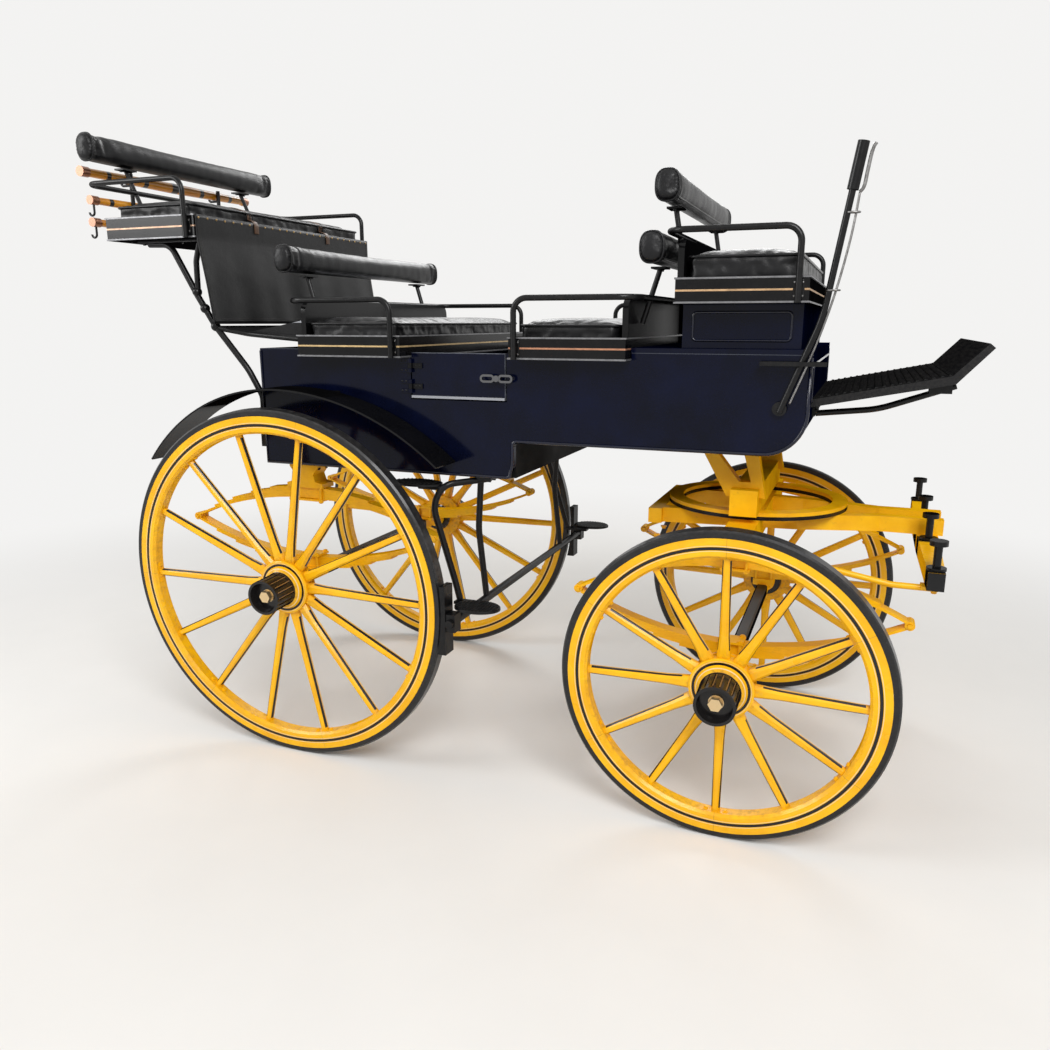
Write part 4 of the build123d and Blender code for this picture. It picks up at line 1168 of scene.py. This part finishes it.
def backRoll(name, settings, number):
    low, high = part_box(name)
    centre = (low + high) / 2
    halfX, halfZ = (high[0] - low[0]) / 2 - 0.004, (high[2] - low[2]) / 2 - 0.004
    half = (high[1] - low[1]) / 2
    power = 2 / 2.6   # of the sine and cosine, for a slightly squared round
    weltAt = settings["rollWelt"]

    def around(c, s, y, size):
        return (centre[0] + size * halfX * math.copysign(abs(c) ** power, c), y,
                centre[2] + size * halfZ * math.copysign(abs(s) ** power, s))

    profile = settings["rollRings"]
    stations = [(-half + away, size) for away, size in profile]
    stations += [(half - away, size) for away, size in reversed(profile)]
    rings = [[around(c, s, y, size) for c, s in circle(40)][::-1] for y, size in stations]
    piece = remeshed(name, rings, settings["voxel"] * 0.8)

    def underOf(co):
        # it rests on the heads of its irons, so the underside hardly swells
        return np.clip((centre[2] - halfZ * 0.7 - co[:, 2]) / 0.01, 0, 1)

    def beyondOf(co):
        # how far each point lies inwards of the welt
        return half - np.abs(co[:, 1]) - weltAt

    co = pointsOf(piece.data)
    held = np.clip(1.5 - np.abs(beyondOf(co)) / 0.006, 0, 1)
    cap = settings["rollSwell"] * (1 - 0.98 * held) * (1 - 0.95 * underOf(co)) + 1e-4
    fillPad(piece, held, cap, settings)
    # pleats at the welt and folds along the roll
    co, no = pointsOf(piece.data), pointsOf(piece.data, "normal")
    turn = np.arctan2((co[:, 2] - centre[2]) / halfZ, (co[:, 0] - centre[0]) / halfX)
    beyond = beyondOf(co)
    pleats = np.cos(turn * 22 + number) * np.exp(-np.abs(beyond) / 0.014)
    push = settings["wrinkle"] * 0.55 * pleats * np.clip(np.abs(beyond) / 0.004, 0, 1)
    for i, p in enumerate(co):
        fold = noise.noise(Vector((p[1] * 26 + number, turn[i] * 1.2, number)))
        fade = math.exp(-max(0, beyond[i]) / 0.09)
        push[i] += settings["wrinkle"] * 0.9 * fold * (0.35 + 0.65 * fade) * (beyond[i] > 0.004)
    push *= 1 - 0.9 * underOf(co)
    setPoints(piece.data, co + no * push[:, None])
    welts = [tubeMesh("welt", [around(c, s, side * (half - weltAt), 0.972) for c, s in circle(44)],
                      settings["piping"] * 0.9, 8, True) for side in (-1, 1)]
    # the seam that closes the roll, along its lower back
    turned = math.radians(-140 if centre[0] < 0 else -40)
    seam = [around(math.cos(turned), math.sin(turned), y, 0.985)
            for y in np.linspace(-half + 0.022, half - 0.022, 40)]
    keepPad(name, piece, welts + [tubeMesh("welt", seam, 0.003, 8)])


pads = {}
for number, place in enumerate(("hind", "middle", "front", "box")):
    pads[place] = seatPad("cushion_" + place, padSettings, number + 1)
for number, place in enumerate(("hind", "middle", "front", "box")):
    backRoll("bolster_" + place, padSettings, number + 1)

# bolts, nuts, screws and treads

# width and height of the heads, metres
headSizes = {
    "big": (0.015, 0.007),
    "small": (0.0105, 0.005),
    "felloe": (0.013, 0.005),
    "screw": (0.0075, 0.0016),
    "fallNail": (0.0085, 0.0022),
    "plateScrew": (0.0055, 0.0014),
}
felloeAside = 0.030    # from the joint of two felloes to each bolt, metres


def bothSides(way, places):
    # the same spots on the right and on the left, from millimetres on the plan
    a, b, c = way
    result = []
    for place in places:
        x, y, z = rowPlace(*place)
        result += [((x, -y, z), (a, -b, c)), ((x, y, z), (a, b, c))]
    return result


def felloeBolts(hub, lean, size, spokes):
    # nuts on the inner face of the rim, beside each joint of the felloes
    inner = size - wheelShape["rim"]
    turn = Matrix.Rotation(math.radians(lean), 3, "X")
    joints = spokes // 2
    spots = []
    for number in range(joints):
        middle = (number + 0.5) * 2 * math.pi / joints
        for side in (-1, 1):
            angle = middle + side * felloeAside / inner
            out = Vector((math.cos(angle), math.sin(angle), 0))
            place = Vector(hub) + turn @ (out * inner + Vector((0, 0, inner * wheelShape["dish"])))
            spots.append((tuple(place), tuple(turn @ -out)))
    return spots


frameSpots = bothSides(down, [
    (-624, 500, 1826), (-444, 500, 1826),                    # under the hind seat
    (636, 395, 1042), (686, 395, 1042),                      # brake hangers
    (690, 473, 1038), (726, 473, 1038), (726, 434, 1038),    # steps
    *((x, y + aside, z) for x, y, z in (                     # heads under the back rolls
        (-848, 330, 2111.7), (2, 400, 1703.7), (1260, 400, 1703.7), (1292, 360, 1875.7))
      for aside in (-24, 24)),
    *((x, y, 1038) for x in (-56, 56) for y in (427, 473)),  # blocks over the rear springs
])
frameSpots += bothSides(ahead, [(1728, 315, 1292), (1728, 345, 1292)])  # footboard irons
foreSpots = bothSides(down, [(2085, 520, 825.7), (2085, 150, 835), (1226, 60, 835),
                             (1230, 190, 835)])
hingeLevels = (1343.0, 1410.0)
fixedScrews = bothSides(left, [(x, 505, level + aside) for level in hingeLevels
                               for x in (427, 441) for aside in (-15.5, 15.5)])
doorScrews = bothSides(left, [(x, 505, level) for level in hingeLevels for x in (477, 493)])
black = materials["ironBlack"], "black_iron"
studded("frameBolts", frameSpots, "bolt", headSizes["small"], *black)
studded("foreBolts", foreSpots, "bolt", headSizes["big"], materials["yellowIron"], "yellow_wood",
        "fore_carriage")
studded("hingeScrews", fixedScrews, "nail", headSizes["screw"], *black)
for side, door in ((-1, "door_right_body"), (1, "door_left_body")):
    studded(door + "Screws", [spot for spot in doorScrews if spot[0][1] * side > 0], "nail",
            headSizes["screw"], *black, door)
for wheel, values in wheelTable.items():
    studded(wheel + "_nuts", felloeBolts(*values), "bolt", headSizes["felloe"],
            materials["yellowNut"], "yellow_paint", wheel)
print("bolts and screws set")

treadSizes = {"Pitch": 0.012, "Rib": 0.0052}
boardSizes = {"Pitch": 0.020, "Length": 0.80, "Width": 0.010, "Height": 0.006}
for name, place, length, width in (("upperTreads", (500, 552, 1033.2), 0.162, 0.090),
                                   ("lowerTreads", (746, 628, 651.2), 0.142, 0.104)):
    grow(name, pointMesh(name + "Spots", bothSides(up, [place])), "tread",
         materials["treadRubber"], "black_iron", Length=length, Width=width, **treadSizes)
boardPath = [rowPlace(1745, 0, 1338.5), rowPlace(2078, 0, 1405.5)]
grow("boardRibs", edgeMesh("boardPath", [boardPath]), "rib", materials["treadRubber"],
     "black_paint", **boardSizes)
print("treads laid")

# leather fall in front of the hind seat

fallSettings = {
    "inset": 0.006,      # from the ends of the seat
    "thickness": 0.0028,
    "lean": 0.045,       # how far forward of its top the hem hangs
    "wave": 0.0045,
    "columns": 150,
    "rows": 30,
    "nailSpacing": 0.045,
    "nailEnd": 0.015,    # from the fall's ends to the first and last nail
    "seams": (0.012, 0.019),   # from the hem and the sides
}


def hindFall(values):
    # nailed along the top of the seat's front, it covers the front and hangs free below it
    low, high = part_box("seat_hind")
    top, foot, hem = high[2] - 0.0015, low[2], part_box("hind_fall")[0][2] + 0.002
    rows, columns = values["rows"], values["columns"]
    half = round(high[1] - values["inset"], 3)
    face = high[0] + values["thickness"] / 2 + 0.0012
    points = []
    for row in range(rows + 1):
        z = top + (hem - top) * row / rows
        share = max(0.0, (foot - z) / (foot - hem))
        for column in range(columns + 1):
            y = -half + 2 * half * column / columns
            sway = math.sin(y * 19 + 0.6 * math.sin(y * 7)) + 0.5 * math.sin(y * 43 + 1.3)
            sway += 1.6 * noise.noise(Vector((y * 6, share * 2.2, 3.1)))
            x = face + values["lean"] * share + values["wave"] * sway * share ** 0.8 * 0.6
            points.append((max(x, face), y, z))
    corners = (row * (columns + 1) + column for row in range(rows) for column in range(columns))
    faces = [(a, a + 1, a + columns + 2, a + columns + 1) for a in corners]
    sheet = newObject("hindFall", meshFrom("hindFall", points, faces))
    thick = sheet.modifiers.new("thick", "SOLIDIFY")
    thick.thickness = values["thickness"]
    thick.offset = 0
    painted(settled(sheet).data, leather["fall"])
    keep(sheet, replaced="hind_fall")
    surface = surfaceOf(sheet)
    rows = []
    for inset in values["seams"]:
        rows.append([(high[0], y, hem + inset)
                     for y in np.linspace(-half + inset, half - inset, 150)])
        for side in (-1, 1):
            rows.append([(high[0], side * (half - inset), z)
                         for z in np.linspace(hem + inset, top - 0.01, 30)])
    lift = padSettings["threadLift"]
    stitches = stitched("fall", [onSurface(surface, row, back, lift) for row in rows],
                        materials["linenThread"], padSettings["stitch"])
    count = int(2 * half / values["nailSpacing"])
    row = [(high[0], y, top - 0.010)
           for y in np.linspace(values["nailEnd"] - half, half - values["nailEnd"], count + 1)]
    spots = [(tuple(p), ahead) for p in onSurface(surface, row, back, 0.0)]
    nails = studded("fallNails", spots, "nail", headSizes["fallNail"], materials["dullBrass"],
                    "leather_black")


hindFall(fallSettings)
print("fall hung")

# straps over the hind cushion, beads on the body, plates under the rails

strapSettings = {
    "places": (-0.235, 0.235),   # across the seat, metres
    "width": 0.026,
    "thickness": 0.0026,
    "stitch": {"Spacing": 0.0055, "Length": 0.0038, "Thickness": 0.0009},
    "fall": 0.0048,              # room for the leather fall that the front end lies over
    "hang": 0.040,               # how far the ends reach below the tray's top
    "buckle": (0.034, 0.026),
    "buckleWire": 0.0017,
}


def bandMesh(name, path, normals, across, width, thickness):
    # a strap with softly rounded edges that follows a path
    half = ((-0.5, 0.0), (-0.46, 0.42), (-0.38, 0.5), (0.38, 0.5), (0.46, 0.42))
    profile = half + tuple((-a, -b) for a, b in half)
    return outwards(loftMesh(name, [
        [p + across * (a * width) + n * (b * thickness) for a, b in profile]
        for p, n in zip(path, normals)]))


def cushionStrap(number, y, values):
    surface = surfaceOf(pads["hind"], bpy.data.objects["cushion_hindPiping"])
    trayLow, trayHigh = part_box("seat_hind")
    padLow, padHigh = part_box("cushion_hind")
    edge = trayHigh[2]
    lift = values["thickness"] * 0.5 + 0.0006
    front, behind = trayHigh[0] + values["fall"] + lift, trayLow[0] - 0.0005 - lift
    sides = np.linspace(edge + 0.012, padHigh[2] - 0.016, 5)
    top = np.linspace(padHigh[0] - 0.012, padLow[0] + 0.012, 26)
    path = [Vector((front, y, edge - values["hang"])), Vector((front, y, edge + 0.002))]
    path += onSurface(surface, [(padHigh[0] + 0.01, y, z) for z in sides], back, lift)
    path += onSurface(surface, [(x, y, padHigh[2] + 0.01) for x in top], down, lift)
    path += onSurface(surface, [(padLow[0] - 0.01, y, z) for z in sides[::-1]], ahead, lift)
    path += [Vector((behind, y, edge + 0.002)), Vector((behind, y, edge - values["hang"]))]
    path = softened(path)
    across = Vector(left)
    normals = [(after - before).cross(across).normalized()
               for before, after in zip(path[:1] + path, path[1:] + path[-1:])]
    name = f"cushionStrap{number}"
    addPiece(name, bandMesh(name, path, normals, across, values["width"], values["thickness"]),
             leather["strap"], "leather_black")
    # the buckle stands on the strap in front of the cushion
    centre = max(path, key=lambda p: p.x * 0.5 - abs(p.z - (edge + 0.020)))
    wide, tall = (length / 2 for length in values["buckle"])
    loop = [centre + Vector((0.0042, a, b))
            for a, b in roundedRectangle(-wide, wide, -tall, tall, 0.005, 0.01)]
    prong = [centre + Vector((a, 0, b))
             for a, b in ((0.0042, -0.014), (0.0042, -0.004), (0.0042, 0.007), (0.0050, 0.0155))]
    parts = [tubeMesh("loop", loop, values["buckleWire"], 8, True),
             tubeMesh("prong", prong, values["buckleWire"] * 0.8, 8)]
    addPiece(name + "Buckle", outwards(joined(name + "Buckle", parts)), *black)
    rows = [[p + across * side * (values["width"] / 2 - 0.003) + n * values["thickness"] * 0.5
             for p, n in zip(path, normals)] for side in (-1, 1)]
    stitched(name, rows, materials["paleThread"], values["stitch"])


for number, y in enumerate(strapSettings["places"]):
    cushionStrap(number + 1, y, strapSettings)
print("straps buckled")

beadSettings = {
    "radius": 0.0055,
    "panelRadius": 0.0040,
    "sides": 10,
}


def bodyBeads(values):
    # half-round beads along the lower edge of each side, and frames on the flat panels
    lower = [(-141, 1452), (-141, 1056), *arc(795, 1075, 19, 270, 318, 6), (818, 1104),
             *arc(834, 1160, 16, 180, 90, 6), *arc(1596, 1296, 120, 270, 360, 12), (1716, 1452)]
    boxPanel = roundedRectangle(1375, 1654, 1497, 1577, 12, 40)
    parts = []

    def bead(places, radius, closed=True):
        path = [rowPlace(*place) for place in places]
        parts.append(tubeMesh("bead", path, radius, values["sides"], closed))

    for side in (-1, 1):
        bead([(x, side * 500.4, z) for x, z in lower], values["radius"], False)
        bead([(x, side * 460.2, z) for x, z in boxPanel], values["panelRadius"])
    for x, low, high in ((-145.2, 1092, 1424), (1720.2, 1325, 1432)):
        endPanel = roundedRectangle(-440, 440, low, high, 14, 40)
        bead([(x, y, z) for y, z in endPanel], values["panelRadius"])
    addPiece("bodyBeads", outwards(joined("bodyBeads", parts)), materials["navyBead"],
             "navy_paint")


bodyBeads(beadSettings)

plateSettings = {
    "width": 0.030,
    "height": 0.052,
    "thickness": 0.0028,
    "corner": 0.008,
    # place along the carriage of each rail's leg, millimetres on the plan
    "legs": {"seat_hind": -369, "seat_middle": 424, "seat_front": 852, "seat_box": 1672},
}


def railPlates(values):
    # a small plate behind each leg of a rail, with two screws above its foot and two below
    halfX, halfZ = values["width"] / 2, values["height"] / 2
    thickness = values["thickness"]
    parts, spots = [], []
    for name, along in values["legs"].items():
        low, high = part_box(name)
        x = rowPlace(along, 0, 0)[0]
        top = high[2] if name == "seat_hind" else seatLines[name][1]
        middle = (seatLines[name][0] + top) / 2
        outline = roundedRectangle(x - halfX, x + halfX, middle - halfZ, middle + halfZ,
                                   values["corner"], 0.02)
        for side in (-1, 1):
            faceY = side * (high[1] - 0.003)
            rings = [[(x + (a - x) * shrink, faceY + side * depth, middle + (b - middle) * shrink)
                      for a, b in outline]
                     for depth, shrink in ((0.0, 1), (thickness * 0.7, 1),
                                           (thickness, 1 - 0.0008 / halfX))]
            parts.append(outwards(loftMesh("plate", rings)))
            spots += [((x + aside, faceY + side * thickness, middle + rise), (0, side, 0))
                      for aside in (-0.0108, 0.0108) for rise in (-0.018, 0.018)]
    addPiece("railPlates", joined("railPlates", parts), *black, smooth=False)
    studded("plateScrews", spots, "nail", headSizes["plateScrew"], materials["dullSteel"],
            "black_iron")


railPlates(plateSettings)

latchSettings = {
    "rod": 0.0032,
    "away": 0.0145,        # between the lever's and the rod's middle lines
    "aside": -0.516,
    "guideWire": 0.00252,
}


def leverLatch(values):
    # the rod that lifts the catch, its squeeze handle and the loops that guide it
    # points along the front of the lever, millimetres on the plan
    stations = ((1652, 1325), (1690, 1425), (1722, 1520), (1750, 1620), (1771, 1720), (1784, 1800),
                (1792, 1880))
    path = softened([Vector(rowPlace(x, 0, z)) + Vector((values["away"], values["aside"], 0))
                     for x, z in stations])
    handle = [path[-1] + Vector((a, 0, b)) for a, b in (
        (0, 0), (0.010, 0.012), (0.014, 0.05), (0.022, 0.105), (0.030, 0.118))]
    parts = [tubeMesh("rod", path, values["rod"], 8),
             tubeMesh("handle", softened(handle), values["rod"] * 1.5, 8)]
    for k in (6, len(path) // 2, len(path) - 5):
        loop = [path[k] + Vector((0.017 * c - values["away"] / 2, 0.0115 * s, 0))
                for c, s in circle(16)]
        parts.append(tubeMesh("guide", loop, values["guideWire"], 6, True))
    addPiece("leverLatch", outwards(joined("leverLatch", parts)), materials["dullSteel"],
             "black_iron")


leverLatch(latchSettings)
print("beads, plates and latch set")

# floor

def floorMaterial(values):
    # a pale floor with the carriage's shadow, fading into the background further out
    material = finish("floorPaint", tuple(0.985 * c for c in values["floorColour"]),
                      values["floorColour"], 0.75, 3, specular=0.1, ripple=(40, 0.02))
    g = Graph(material.node_tree)
    glow = g.add("ShaderNodeEmission", {"Color": (*values["background"], 1)})
    x, y, z = g.split(g.coords())
    fade = g.add("ShaderNodeMapRange", {"Value": g.hypot(x, y), "From Min": values["fadeStart"],
                                        "From Max": values["fadeEnd"]},
                 interpolation_type="SMOOTHSTEP")
    shown = g.times(g.seenRays(), fade.outputs[0])
    g.feed(g.tree.nodes["Material Output"].inputs["Surface"],
           g.chosen(shown, g.tree.nodes["Principled BSDF"], glow))
    return material


floorMesh = meshFrom("floor", [(-30, -30, 0), (30, -30, 0), (30, 30, 0), (-30, 30, 0)],
                     [(0, 1, 2, 3)])
floorMesh.materials.append(floorMaterial(studio))
newObject("floor", floorMesh)
